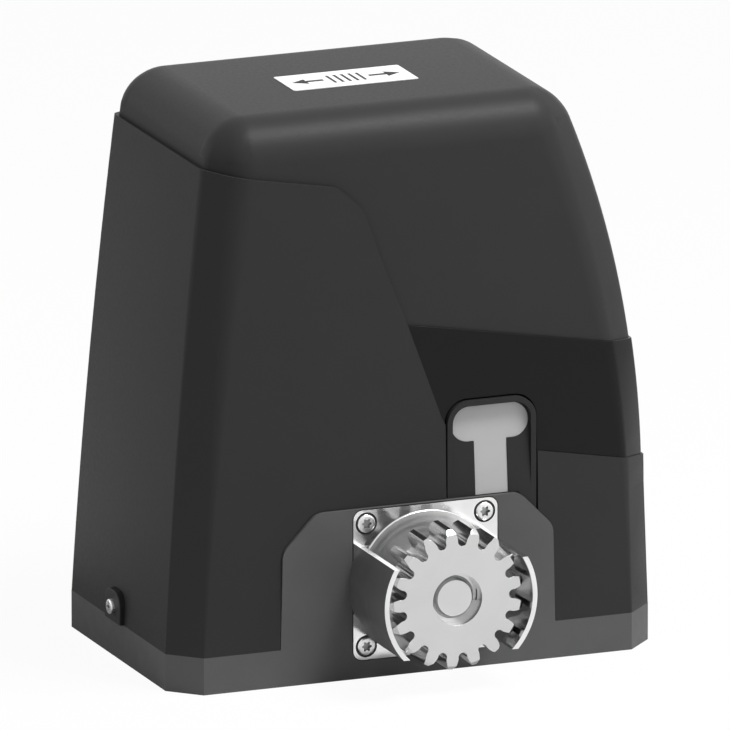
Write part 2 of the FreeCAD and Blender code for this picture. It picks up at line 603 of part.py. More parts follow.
def make_worm_wheel():
    module, teeth = float(s.worm_module), int(float(s.wheel_teeth))
    width = float(s.wheel_width)
    lead_angle_tan = module / float(s.worm_pitch_diameter)
    twist = math.degrees(lead_angle_tan / (module * teeth / 2))
    extra = 1.2
    wires = []
    for height in (0.0, width / 2, width):
        turn = twist * (height - width / 2)
        wires.append(gear_wire(module, teeth, float(s.mesh_play), extra, turn, height))
    helical = Part.makeLoft(wires, True, True)
    rim = feature("wheel_rim", helical, (OUT_X, WHEEL_BACK, OUT_Z), "front")
    worm_root = s.worm_pitch_diameter / 2 - s.worm_module * 1.25
    distance = (s.worm_module * s.wheel_teeth + s.worm_pitch_diameter) / 2
    throat = primitive("Torus", "wheel_throat", (OUT_X, s.wheel_y, OUT_Z), "y",
                       Radius1=distance, Radius2=worm_root + s.throat_gap)
    bush = s.bush_outside / 2
    bore = cylinder("wheel_bore", bush, s.wheel_width + 2, (OUT_X, WHEEL_FRONT - 1, OUT_Z), "y")
    seat = cone("wheel_cone_seat", s.cone_large / 2, s.cone_small / 2, s.cone_depth,
                (OUT_X, WHEEL_FRONT, OUT_Z), "y")
    relief = turned("wheel_relief", [(bush + 4, 0), (bush + 14, 0), (bush + 12, 4), (bush + 6, 4)],
                    (OUT_X, WHEEL_BACK, OUT_Z), "front")
    node("worm_wheel", cut("worm_wheel", rim, [throat, bore, seat, relief]))
    bush_front = WHEEL_FRONT + s.cone_depth + s.part_gap
    node("wheel_bush", turned("wheel_bush", [
        (s.shaft_wheel_seat / 2 + s.fit_gap, 0), (bush, 0), (bush, WHEEL_BACK - bush_front),
        (s.shaft_wheel_seat / 2 + s.fit_gap, WHEEL_BACK - bush_front)], (OUT_X, bush_front, OUT_Z), "y"))


WORM_X = OUT_X - (s.worm_module * s.wheel_teeth + s.worm_pitch_diameter) / 2
CASE_TOP = s.worm_case_top + s.motor_seat_thickness
CORE_BOTTOM = CASE_TOP + s.shield_height
CORE_TOP = CORE_BOTTOM + s.core_length
MOTOR_TOP = CORE_TOP + s.shield_height
LOWER_BEARING_Z = s.floor_thickness + s.case_wall
UPPER_BEARING_Z = CASE_TOP - s.worm_bearing_width
TOP_BEARING_Z = MOTOR_TOP - s.shield_wall - s.worm_bearing_width


def make_rotor():
    module = float(s.worm_module)
    pitch_radius = float(s.worm_pitch_diameter) / 2
    root_radius = pitch_radius - 1.25 * module
    tip_radius = pitch_radius + module
    pitch = math.pi * module
    half_thread = pitch / 4 - float(s.mesh_play)
    slope = math.tan(math.radians(20))
    # An odd number of turns leaves a gap facing the wheel's tooth at mid-height.
    turns = 2 * int(float(s.worm_length) / pitch / 2) + 1
    start = float(OUT_Z) - turns / 2 * pitch
    helix = Part.makeHelix(pitch, turns * pitch, pitch_radius)
    inner, outer = root_radius - 0.6, tip_radius
    half_inner = half_thread + (pitch_radius - inner) * slope
    half_outer = half_thread - (outer - pitch_radius) * slope
    corners = [Vector(inner, 0, -half_inner), Vector(outer, 0, -half_outer),
               Vector(outer, 0, half_outer), Vector(inner, 0, half_inner)]
    profile = Part.Wire(Part.makePolygon(corners + corners[:1]).Edges)
    swept = Part.Wire(helix.Edges).makePipeShell([profile], True, True)
    thread = feature("worm_thread", swept, (WORM_X, s.wheel_y, start))
    root = root_radius
    journal = s.worm_bearing_bore / 2
    core_seat = 11
    shaft = turned("worm_core", [
        (0, LOWER_BEARING_Z), (journal, LOWER_BEARING_Z), (journal, LOWER_BEARING_Z + s.worm_bearing_width),
        (root, LOWER_BEARING_Z + s.worm_bearing_width), (root, UPPER_BEARING_Z), (journal, UPPER_BEARING_Z),
        (journal, CASE_TOP), (core_seat, CASE_TOP + 4), (core_seat, CORE_TOP + 6),
        (journal, CORE_TOP + 6), (journal, MOTOR_TOP - s.shield_wall), (0, MOTOR_TOP - s.shield_wall)],
        (WORM_X, s.wheel_y, 0))
    node("worm_shaft", fuse("worm_shaft", [shaft, thread]))
    radius = s.rotor_diameter / 2
    node("rotor_core", turned("rotor_core", [
        (core_seat, CORE_BOTTOM - 6), (radius - 4, CORE_BOTTOM - 6), (radius - 2, CORE_BOTTOM),
        (radius, CORE_BOTTOM), (radius, CORE_TOP), (radius - 2, CORE_TOP), (radius - 4, CORE_TOP + 6),
        (core_seat, CORE_TOP + 6)], (WORM_X, s.wheel_y, 0)))


def make_bearing(name, bore, outside, width, at, axis="z", front="y"):
    """A sealed ball bearing: rings with a shallow shield between them on both faces."""
    inner, outer = bore / 2 + s.fit_gap, outside / 2
    step = (outer - inner) * 0.25
    node(name, turned(name, [
        (inner, 0), (inner + step, 0), (inner + step, 0.6), (outer - step, 0.6), (outer - step, 0), (outer, 0),
        (outer, width), (outer - step, width), (outer - step, width - 0.6), (inner + step, width - 0.6),
        (inner + step, width), (inner, width)], at, axis))


def make_bearings():
    make_bearing("front_bearing", s.shaft_collar, s.front_bearing_outside, s.front_bearing_width,
                 (OUT_X, BEARING_FRONT, OUT_Z), "y")
    make_bearing("rear_bearing", s.shaft_rear, s.rear_bearing_outside, s.rear_bearing_width,
                 (OUT_X, REAR_BEARING_FRONT, OUT_Z), "y")
    for name, z in (("worm_lower_bearing", LOWER_BEARING_Z), ("worm_upper_bearing", UPPER_BEARING_Z),
                    ("rotor_top_bearing", TOP_BEARING_Z)):
        make_bearing(name, s.worm_bearing_bore, s.worm_bearing_outside, s.worm_bearing_width,
                     (WORM_X, s.wheel_y, z))
    lip = s.shaft_collar / 2 + s.fit_gap
    outer = s.front_bearing_outside / 2
    node("output_seal", turned("output_seal", [
        (lip, 1.5), (lip + 1.5, 0.5), (lip + 4, 0.5), (lip + 4, 1), (outer - 2, 1), (outer - 2, 0),
        (outer, 0), (outer, s.seal_width), (lip + 3, s.seal_width), (lip + 3, s.seal_width - 1),
        (lip, s.seal_width - 2)], (OUT_X, SEAL_FRONT, OUT_Z), "y"))


# ---------------------------------------------------------------- gear case


def wheel_room():
    return (s.worm_module * s.wheel_teeth) / 2 + s.worm_module + s.wheel_clearance


LID_ANGLES = (30, 90, 140, 215, 325)


def case_bolt_places():
    """Where the gear case is bolted to the base's floor."""
    for x in (WORM_X - s.case_foot_left + 6, OUT_X + s.case_foot_right - 6):
        for y in (CASE_FRONT + 27, s.case_back - 7):
            yield x, y


def lid_lugs(name, radius, length, front):
    lugs = []
    circle = wheel_room() + s.case_wall + 1
    for angle in LID_ANGLES:
        turn = math.radians(angle)
        lugs.append(cylinder("%s_%d" % (name, angle), radius, length,
                             (OUT_X + circle * math.cos(turn), front, OUT_Z + circle * math.sin(turn)), "y"))
    return lugs


def make_gear_case():
    room = wheel_room()
    outer = room + s.case_wall
    half = s.flange_side / 2
    lug_length = 14
    parts = [cylinder("case_drum", outer, s.case_back - CASE_FRONT, (OUT_X, CASE_FRONT, OUT_Z), "y"),
             cylinder("case_spigot", spigot_radius(), s.tower_wall, (OUT_X, SEAL_FRONT, OUT_Z), "y"),
             rounded(padded("case_face", rectangle(-half, -half, half, half), lug_length,
                            (OUT_X, CASE_FRONT + lug_length, OUT_Z), "front"),
                     rectangle(-half, -half, half, half), s.flange_corner),
             cylinder("case_worm_tower", s.worm_case_outside / 2, CASE_TOP - s.floor_thickness,
                      (WORM_X, s.wheel_y, s.floor_thickness)),
             cylinder("case_motor_seat", s.motor_outside / 2, s.motor_seat_thickness,
                      (WORM_X, s.wheel_y, s.worm_case_top)),
             box("case_foot_plate", (WORM_X - s.case_foot_left, CASE_FRONT + 20, s.floor_thickness),
                 (OUT_X - WORM_X + s.case_foot_left + s.case_foot_right, s.case_back - CASE_FRONT - 20,
                  s.case_foot))]
    parts += lid_lugs("case_lug", s.lid_lug, lug_length, s.case_back - lug_length)
    cavity_front = BEARING_BACK + 4
    tools = [cylinder("case_cavity", room, s.case_back - cavity_front + 1, (OUT_X, cavity_front, OUT_Z), "y"),
             cylinder("case_bearing_seat", s.front_bearing_outside / 2, BEARING_BACK - SEAL_FRONT + 1,
                      (OUT_X, SEAL_FRONT - 1, OUT_Z), "y"),
             cylinder("case_shoulder", s.front_bearing_outside / 2 - 4, 12, (OUT_X, BEARING_BACK - 2, OUT_Z), "y"),
             cylinder("worm_room", s.worm_pitch_diameter / 2 + s.worm_module + 2.5,
                      UPPER_BEARING_Z - LOWER_BEARING_Z, (WORM_X, s.wheel_y, LOWER_BEARING_Z)),
             cylinder("worm_bearing_seats", s.worm_bearing_outside / 2, s.worm_bearing_width,
                      (WORM_X, s.wheel_y, LOWER_BEARING_Z)),
             cylinder("worm_upper_seat", s.worm_bearing_outside / 2, s.worm_bearing_width + 1,
                      (WORM_X, s.wheel_y, UPPER_BEARING_Z))]
    for index, (x, z) in enumerate(corners_of(s.screw_spacing / 2, s.screw_spacing / 2)):
        tools.append(cylinder("case_screw_hole_%d" % index, s.screw_thread / 2 + s.thread_gap,
                              s.screw_reach, (OUT_X + x, CASE_FRONT - 1, OUT_Z + z), "y"))
    tools += lid_lugs("case_lug_hole", 2.2, lug_length, s.case_back - lug_length + 1)
    for index, (x, y) in enumerate(motor_places(s.motor_bolt_circle / 2)):
        tools.append(cylinder("case_motor_hole_%d" % index, s.motor_bolt / 2 + 0.2, s.motor_seat_thickness,
                              (x, y, s.worm_case_top + 1)))
    for index, (x, y) in enumerate(case_bolt_places()):
        tools.append(cylinder("case_foot_hole_%d" % index, s.case_bolt / 2 + 0.2, s.case_foot + 2,
                              (x, y, s.floor_thickness - 1)))
    node("gear_case", cut("gear_case", fuse("case_solid", parts), tools))

    lid_front = s.case_back + s.gasket
    plate = cylinder("lid_plate", outer, s.lid_thickness, (OUT_X, lid_front, OUT_Z), "y")
    spigot = cylinder("lid_spigot", room - 0.1, lid_front - REAR_BEARING_FRONT,
                      (OUT_X, REAR_BEARING_FRONT, OUT_Z), "y")
    boss = cylinder("lid_boss", s.spindle / 2 + 6, 10, (OUT_X, lid_front + s.lid_thickness, OUT_Z), "y")
    body = fuse("lid_solid", [plate, spigot, boss] + lid_lugs("lid_lug", s.lid_lug, s.lid_thickness, lid_front))
    tools = [cylinder("lid_bearing_seat", s.rear_bearing_outside / 2, s.rear_bearing_width + 1,
                      (OUT_X, REAR_BEARING_FRONT - 1, OUT_Z), "y"),
             cylinder("lid_spindle_bore", s.spindle / 2 + s.fit_gap, 40, (OUT_X, REAR_BEARING_FRONT, OUT_Z), "y")]
    tools += lid_lugs("lid_lug_hole", 2.2, s.lid_thickness + 2, lid_front - 1)
    node("gear_case_lid", cut("gear_case_lid", body, tools))

    ring = cylinder("gasket_ring", outer, s.gasket, (OUT_X, s.case_back, OUT_Z), "y")
    ears = lid_lugs("gasket_ear", s.lid_lug, s.gasket, s.case_back)
    holes = [cylinder("gasket_hole", room, s.gasket + 2, (OUT_X, s.case_back - 1, OUT_Z), "y")]
    holes += lid_lugs("gasket_screw_hole", 2.2, s.gasket + 2, s.case_back - 1)
    node("case_gasket", cut("case_gasket", fuse("gasket_solid", [ring] + ears), holes))
    screws = []
    circle = outer + 1
    for angle in LID_ANGLES:
        turn = math.radians(angle)
        screws.append(turned("lid_screw_%d" % angle, [
            (0, 0), (3.5, 0), (3.5, 4), (2, 4), (2, 4 + 16), (0, 4 + 16)],
            (OUT_X + circle * math.cos(turn), lid_front + s.lid_thickness + 4,
             OUT_Z + circle * math.sin(turn)), "front"))
    node("lid_screws", group("lid_screws", screws))
    bolts = []
    radius = s.case_bolt / 2
    head_z = s.floor_thickness + s.case_foot
    for index, (x, y) in enumerate(case_bolt_places()):
        bolts.append(turned("case_bolt_%d" % index, [
            (0, 1.5), (radius, 1.5), (radius, head_z), (radius + 1.6, head_z), (radius + 1.6, head_z + 4),
            (radius - 0.4, head_z + 4), (radius - 0.4, head_z + 1.5), (0, head_z + 1.5)], (x, y, 0)))
    node("case_bolts", group("case_bolts", bolts))


# ---------------------------------------------------------------- clutch and release


def make_clutch():
    depth = s.cone_depth - s.fit_gap
    shrink = s.fit_gap * 2
    back = CONE_BACK - CLUTCH_FRONT
    hub = s.clutch_hub / 2
    blank = turned("clutch_blank", [
        (s.shaft_flats / 2 - 2, 0), (hub, 0), (hub, back - depth - 8), (s.cone_large / 2 + 2, back - depth - 3),
        (s.cone_large / 2 + 2, back - depth - s.part_gap), (s.cone_large / 2 - shrink, back - depth - s.part_gap),
        (s.cone_small / 2 - shrink, back), (s.shaft_flats / 2 - 2, back)], (OUT_X, CLUTCH_FRONT, OUT_Z), "y")
    bore = cylinder("clutch_bore_round", s.shaft_spline / 2 + s.fit_gap, s.clutch_length + 2,
                    (OUT_X, CLUTCH_FRONT - 1, OUT_Z), "y")
    flats = box("clutch_bore_flats", (OUT_X - 30, CLUTCH_FRONT - 2, OUT_Z - s.shaft_flats / 2 - s.fit_gap),
                (60, s.clutch_length + 4, s.shaft_flats + s.fit_gap * 2))
    bore_shape = common("clutch_bore", bore, flats)
    hole = cylinder("clutch_pin_hole", s.pin_diameter / 2, 60, (OUT_X - 30, PIN_Y, OUT_Z), "x")
    node("clutch_cone", cut("clutch_cone", blank, [bore_shape, hole]))
    node("clutch_pin", cylinder("clutch_pin", s.pin_diameter / 2, s.pin_length,
                                (OUT_X - s.pin_length / 2, PIN_Y, OUT_Z), "x"))
    rod_front = PIN_Y - s.pin_diameter
    rod = cylinder("rod_bar", s.rod_diameter / 2, SHAFT_BACK - rod_front, (OUT_X, rod_front, OUT_Z), "y")
    eye = cylinder("rod_eye", s.pin_diameter / 2, 20, (OUT_X - 10, PIN_Y, OUT_Z), "x")
    node("release_rod", cut("release_rod", rod, [eye]))
    # Disc springs press the cone into the wheel.
    inner, outer = s.shaft_spline / 2 + 0.4, s.clutch_hub / 2 - 1
    room_front = BEARING_BACK + 3 + s.part_gap
    room = CLUTCH_FRONT - s.part_gap - room_front
    discs = []
    count = 4
    pitch = room / count
    thick = 1.2
    for index in range(count):
        low, high = (0, pitch - thick) if index % 2 == 0 else (pitch - thick, 0)
        discs.append(turned("disc_spring_%d" % index, [
            (inner, low), (outer, high), (outer, high + thick - 0.05), (inner, low + thick - 0.05)],
            (OUT_X, room_front + pitch * index, OUT_Z), "y"))
    node("clutch_springs", group("clutch_springs", discs))


def make_release():
    lever_front = BACK + s.part_gap
    hub = s.lever_hub / 2
    thickness = s.lever_thickness
    arm = s.lever_length
    half = s.lever_width / 2
    outline = [(0, -half - 4), (arm - 14, -half), (arm - 4, -half), (arm, -half + 6), (arm, half - 6),
               (arm - 4, half), (arm - 14, half), (0, half + 4)]
    bar = rounded(padded("lever_bar", outline, thickness, (OUT_X, lever_front + thickness, OUT_Z), "front"),
                  outline[2:6], 5)
    disc = turned("lever_hub_disc", [
        (0, -4), (hub - 5, -4), (hub - 1.5, -2.5), (hub, 1), (hub, thickness), (0, thickness)],
        (OUT_X, lever_front + thickness, OUT_Z), "front")
    grip_cut = cylinder("lever_grip_cut", 13, s.lever_width + 20,
                        (OUT_X + arm - 22, lever_front + thickness + 9, OUT_Z - half - 10))
    cap = cylinder("lever_cap_recess", 12, 2, (OUT_X, lever_front + thickness + 2.5, OUT_Z), "y")
    node("release_lever", cut("release_lever", fuse("lever_solid", [bar, disc]), [grip_cut, cap]))
    spindle_front = SHAFT_BACK + s.part_gap
    node("release_spindle", turned("release_spindle", [
        (0, 0), (s.spindle / 2 - 1, 0), (s.spindle / 2, 1), (s.spindle / 2, lever_front - spindle_front),
        (0, lever_front - spindle_front)], (OUT_X, spindle_front, OUT_Z), "y"))
    outside = s.lock_outside / 2
    plug = s.lock_plug / 2
    lock_x = OUT_X + s.lock_x
    node("lock_barrel", turned("lock_barrel", [
        (plug + s.fit_gap, 0), (outside, 0), (outside, s.tower_wall), (outside + 2, s.tower_wall),
        (outside + 2, s.tower_wall + 1.5), (outside + 0.5, s.tower_wall + 3), (plug + s.fit_gap, s.tower_wall + 3)],
        (lock_x, BACK - s.tower_wall, s.lock_z), "y"))
    core = cylinder("lock_plug_core", plug, s.tower_wall + 6.5, (lock_x, BACK - s.tower_wall - 4, s.lock_z), "y")
    tongue = box("lock_tongue", (lock_x - 4, BACK - s.tower_wall - 4, s.lock_z - 4), (20, 3, 8))
    keyhole = box("lock_keyhole", (lock_x - 0.8, BACK - 6, s.lock_z - 3.5), (1.6, 10, 7))
    node("lock_plug", cut("lock_plug", fuse("lock_plug_solid", [core, tongue]), [keyhole]))


# ---------------------------------------------------------------- motor


def motor_places(radius):
    for index in range(4):
        turn = math.radians(45 + 90 * index)
        yield WORM_X + radius * math.cos(turn), s.wheel_y + radius * math.sin(turn)


def make_motor():
    centre = (WORM_X, s.wheel_y, 0)
    outer, bore = s.motor_outside / 2, s.rotor_diameter / 2 + s.air_gap
    wall = s.shield_wall
    inside = outer - wall
    bearing = s.worm_bearing_outside / 2
    bolt = s.motor_bolt / 2
    circle = s.motor_bolt_circle / 2
    lower = turned("lower_shield_blank", [
        (s.worm_bearing_bore / 2 + 4, CASE_TOP), (outer, CASE_TOP), (outer, CORE_BOTTOM), (inside - 4, CORE_BOTTOM),
        (inside - 4, CASE_TOP + wall), (s.worm_bearing_bore / 2 + 4, CASE_TOP + wall)], centre)
    upper = turned("upper_shield_blank", [
        (inside - 4, CORE_TOP), (outer, CORE_TOP), (outer, MOTOR_TOP - 12), (outer - 10, MOTOR_TOP),
        (0, MOTOR_TOP), (0, MOTOR_TOP - wall), (bearing, MOTOR_TOP - wall), (bearing, TOP_BEARING_Z),
        (bearing + 4, TOP_BEARING_Z), (bearing + 6, MOTOR_TOP - wall), (outer - 12, MOTOR_TOP - wall),
        (inside - 4, MOTOR_TOP - 14)], centre)
    holes = [cylinder("lower_bolt_hole_%d" % index, bolt + 0.2, s.shield_height + 2, (x, y, CASE_TOP - 1))
             for index, (x, y) in enumerate(motor_places(circle))]
    node("motor_lower_shield", cut("motor_lower_shield", lower, holes))
    holes = [cylinder("upper_bolt_hole_%d" % index, bolt + 0.2, s.shield_height + 2, (x, y, CORE_TOP - 1))
             for index, (x, y) in enumerate(motor_places(circle))]
    head_seat = MOTOR_TOP - s.bolt_head_drop
    holes += [cylinder("upper_head_sink_%d" % index, bolt + s.bolt_head_rim + 0.5, 20, (x, y, head_seat))
              for index, (x, y) in enumerate(motor_places(circle))]
    node("motor_upper_shield", cut("motor_upper_shield", upper, holes))
    core = turned("stator_blank", [(bore, CORE_BOTTOM), (outer, CORE_BOTTOM), (outer, CORE_TOP),
                                   (bore, CORE_TOP)], centre)
    holes = [cylinder("core_bolt_hole_%d" % index, bolt + 0.2, s.core_length + 2, (x, y, CORE_BOTTOM - 1))
             for index, (x, y) in enumerate(motor_places(circle))]
    node("stator_core", cut("stator_core", core, holes))
    windings = []
    for name, low in (("lower_winding", CORE_BOTTOM - s.winding_height), ("upper_winding", CORE_TOP)):
        height = s.winding_height
        windings.append(turned(name, [
            (bore + 2.5, low), (bore + 10, low), (bore + 12, low + 4), (bore + 12, low + height - 1),
            (bore + 10, low + height), (bore + 2.5, low + height)], centre))
    node("stator_windings", group("stator_windings", windings))
    bolts = []
    foot, head = CASE_TOP - s.motor_seat_thickness + 2, bolt + s.bolt_head_rim
    for index, (x, y) in enumerate(motor_places(circle)):
        bolts.append(turned("motor_bolt_%d" % index, [
            (0, foot), (bolt, foot), (bolt, head_seat), (head, head_seat),
            (head, head_seat + s.bolt_head_height), (0, head_seat + s.bolt_head_height)], (x, y, 0)))
    node("motor_bolts", group("motor_bolts", bolts))


# ---------------------------------------------------------------- control parts


def make_controls():
    floor = s.floor_thickness
    half = s.board_width / 2
    thick = s.bracket_thickness
    board_x = s.board_x
    upright = box("bracket_upright", (board_x - thick, -half, floor), (thick, s.board_width,
                                                                      s.board_z + s.board_height - floor))
    foot = box("bracket_foot", (board_x - thick, -half, floor), (s.bracket_foot, s.board_width, thick))
    window = box("bracket_window", (board_x - thick - 1, -half + 14, s.board_z + 12),
                 (thick + 2, s.board_width - 28, s.board_height - 24))
    lower_window = box("bracket_lower_window", (board_x - thick - 1, -half + 14, floor + 20),
                       (thick + 2, s.board_width - 28, s.board_z - floor - 32))
    node("board_bracket", cut("board_bracket", fuse("bracket_solid", [upright, foot]), [window, lower_window]))
    posts = []
    for index, (y, z) in enumerate(corners_of(half - 6, s.board_height / 2 - 6)):
        posts.append(cylinder("standoff_%d" % index, 3, s.standoff,
                              (board_x, y, s.board_z + s.board_height / 2 + z), "x"))
    node("board_standoffs", group("board_standoffs", posts))
    face = board_x + s.standoff
    node("control_board", box("control_board", (face, -half, s.board_z),
                              (s.board_thickness, s.board_width, s.board_height)))
    front = face + s.board_thickness
    blocks = []
    for index in range(3):
        y = -half + 8 + index * 34
        body = box("terminal_body_%d" % index, (front, y, s.board_z + 4), (12, 30, 10))
        mouths = [box("terminal_mouth_%d_%d" % (index, way), (front + 9, y + 2 + way * 7, s.board_z + 3),
                      (4, 4, 5)) for way in range(4)]
        blocks.append(cut("terminal_block_%d" % index, body, mouths))
    node("terminal_blocks", group("terminal_blocks", blocks))
    relays = [box("relay_%d" % index, (front, -half + 14 + index * 24, s.board_z + 60), (16, 19, 15))
              for index in range(3)]
    node("board_relays", group("board_relays", relays))
    make_transformer()
    radius = s.capacitor_diameter / 2
    top = s.capacitor_height
    node("run_capacitor", turned("run_capacitor", [
        (0, 0), (radius - 2, 0), (radius, 2), (radius, top - 3), (radius - 3, top), (6, top), (6, top + 6),
        (0, top + 6)], (s.capacitor_x, s.capacitor_y, floor)))
    height, wall = s.clamp_height, s.clamp_wall
    cup = turned("clamp_cup", [(radius + 0.1, 0), (radius + wall, 0), (radius + wall, height),
                               (radius + 0.1, height)], (s.capacitor_x, s.capacitor_y, floor))
    ears = box("clamp_ears", (s.capacitor_x - radius / 2, s.capacitor_y - radius - 12, floor),
               (radius, radius * 2 + 24, wall))
    room = cylinder("clamp_room", radius + 0.1, height, (s.capacitor_x, s.capacitor_y, floor - 1))
    node("capacitor_clamp", fuse("capacitor_clamp", [cup, cut("clamp_feet", ears, [room])]))


def make_transformer():
    side, height = s.transformer_side, s.transformer_height
    depth = side * 0.6
    x, y, z = s.transformer_x, s.transformer_y, s.floor_thickness
    bar = side * 0.2
    # An E and I core: three legs, with the coil wound round the middle one.
    core = box("transformer_block", (x, y, z), (depth, side, height))
    windows = [box("transformer_window_%d" % index, (x - 1, y + bar + index * bar * 2, z + bar),
                   (depth + 2, bar, height - bar * 2)) for index in range(2)]
    node("transformer_core", cut("transformer_core", core, windows))
    out = bar * 0.6
    coil = box("coil_block", (x - out, y + bar + 0.2, z + bar + 0.2),
               (depth + out * 2, bar * 3 - 0.4, height - bar * 2 - 0.4))
    leg = box("coil_leg_room", (x - 0.2, y + bar * 2 - 0.2, z), (depth + 0.4, bar + 0.4, height))
    node("transformer_coil", cut("transformer_coil", coil, [leg]))


# ---------------------------------------------------------------- cover


COVER_BASE = s.base_height
OUTER_TOP = s.cover_top + s.skirt_step
ARC_TOP = 3


def bound_arc(sketch, first, via, last, number):
    """An arc of the outline that passes through a point held at sizes from the sheet."""
    middle = sketch.addGeometry(Part.Point(Vector(float(via[0]), float(via[1]), 0)), True)
    for kind, value in zip(("DistanceX", "DistanceY"), via):
        index = sketch.addConstraint(Sketcher.Constraint(kind, -1, 1, middle, 1, float(value)))
        sketch.setExpression("Constraints[%d]" % index, Size.of(value).formula)
    sketch.addConstraint(Sketcher.Constraint("PointOnObject", middle, 1, number))


def curved_pad(name, points, vias, thickness, at, axis):
    """Like padded, but the side that leaves corner k is an arc through vias[k]."""
    body = document.addObject("PartDesign::Body", name)
    sketch = body_sketch(body, name + "_outline", "XY_Plane")
    vectors = [Vector(float(x), float(y), 0) for x, y in points]
    count = len(points)
    starts = {}
    for k in range(count):
        first, last = vectors[k], vectors[(k + 1) % count]
        if k in vias:
            via = Vector(float(vias[k][0]), float(vias[k][1]), 0)
            arc = Part.Arc(first, via, last)
            sketch.addGeometry(arc, False)
            # A sketch keeps an arc counter-clockwise, so its two ends may be swapped.
            ends = sketch.Geometry[k].StartPoint
            starts[k] = 1 if ends.distanceToPoint(first) < ends.distanceToPoint(last) else 2
        else:
            sketch.addGeometry(Part.LineSegment(first, last), False)
            starts[k] = 1
    for k in range(count):
        after = (k + 1) % count
        sketch.addConstraint(Sketcher.Constraint("Coincident", k, 3 - starts[k], after, starts[after]))
    for k, corner in enumerate(points):
        for kind, value in zip(("DistanceX", "DistanceY"), corner):
            index = sketch.addConstraint(Sketcher.Constraint(kind, -1, 1, k, starts[k], float(value)))
            sketch.setExpression("Constraints[%d]" % index, Size.of(value).formula)
    for k, via in vias.items():
        bound_arc(sketch, None, via, None, k)
    feature = body.newObject("PartDesign::Pad", name + "_pad")
    feature.Profile = sketch
    bind(feature, "Length", thickness)
    return place(body, at, axis)


def upright_edges(shape, low, high):
    """The hood's corner edges: (number, edge) of those that climb between two heights."""
    found = []
    for index, edge in enumerate(shape.Edges, start=1):
        middle = edge.valueAt((edge.FirstParameter + edge.LastParameter) / 2)
        rise = abs(edge.Vertexes[0].Z - edge.Vertexes[-1].Z)
        if rise > 8 and abs(middle.x) > float(s.right_top_x) / 2 and low < middle.z < high:
            found.append((index, edge))
    return found


def hood_block(name, inset, domed=True):
    """The cover's outside, drawn in by an inset: two outlines crossed, then its corners and top rounded."""
    half = s.base_width / 2 - inset
    slanted = inset * 1.06
    top_z = s.cover_top + ARC_TOP
    points = [(-half, COVER_BASE), (half, COVER_BASE), (s.right_straight_x - inset, s.right_straight_z),
              (s.right_top_x - slanted, top_z), (s.right_top_x - slanted, top_z + 8),
              (-s.left_top_x + inset, top_z + 8), (-s.left_top_x + inset, top_z)]
    vias = {2: (s.right_middle_x - slanted, s.right_middle_z), 6: (-s.left_middle_x + inset, s.left_middle_z)}
    front = curved_pad(name + "_front", points, vias, s.base_depth + 20, (0, BACK + 10, 0), "front")
    top = OUTER_TOP - inset
    lean = [(FRONT + inset, COVER_BASE), (BACK - inset, COVER_BASE), (s.cover_back_top_y - inset, top),
            (-s.cover_front_top_y + inset, top)]
    side = padded(name + "_side", lean, s.base_width + 20, (-s.base_width / 2 - 10, 0, 0), "side")
    block = common(name + "_block", front, side)
    document.recompute()
    corner = float(s.cover_corner) - float(inset) * SETBACK
    bottom_z, top_z = float(COVER_BASE), float(top)
    chamfer = document.addObject("Part::Chamfer", name + "_corners")
    chamfer.Base = block
    chamfer.Edges = [(index, corner, corner) for index, edge in upright_edges(block.Shape, bottom_z, top_z)]
    document.recompute()

    def radius(edge, z, shrink):
        """Corners are crisp at the foot and round at the top, more so beside the front and back faces."""
        middle = edge.valueAt((edge.FirstParameter + edge.LastParameter) / 2)
        share = (middle.z - bottom_z) / (top_z - bottom_z)
        face_y = float(s.base_depth) / 2 - 5 * share - 3
        foot, crown = (s.front_round_foot, s.front_round_top) if abs(middle.y) > face_y - shrink else (
            s.side_round_foot, s.side_round_top)
        return float(foot) + (float(crown) - float(foot)) * (z - bottom_z) / (top_z - bottom_z)

    rounds = []
    for index, edge in upright_edges(chamfer.Shape, bottom_z, top_z):
        rounds.append((index, radius(edge, edge.Vertexes[0].Z, float(inset)),
                       radius(edge, edge.Vertexes[-1].Z, float(inset))))
    if domed:
        dome = float(s.top_round) - (float(inset) - float(s.skirt_step))
        for index, edge in enumerate(chamfer.Shape.Edges, start=1):
            if all(abs(vertex.Z - top_z) < 0.01 for vertex in edge.Vertexes):
                rounds.append((index, dome, dome))
    rounded_block = document.addObject("Part::Fillet", name + "_rounds")
    rounded_block.Base = chamfer
    rounded_block.Edges = rounds
    document.recompute()
    return rounded_block


def seam_height(x):
    """The left panel's top seam."""
    return s.seam_left_z - (x + s.seam_left_x) * s.seam_slope


def band_top(x):
    return s.band_top_z - (x + s.band_left_x) * s.band_slope


def band_bottom(x):
    return s.band_bottom_z - (x - (s.switch_x + s.switch_width / 2)) * s.seam_slope


# How far the limit switch housing's right side reaches down beside the raised front's shoulder.
SHOULDER_FALL = ((s.switch_x + s.switch_width / 2 - s.tower_half_top) * (s.tower_top - s.tower_shoulder)
                 / (s.tower_half_shoulder - s.tower_half_top))


def switch_outline(grow):
    half = s.switch_width / 2 + grow
    return rectangle(-half, s.tower_top - SHOULDER_FALL - grow - 1, half, s.switch_top + grow)


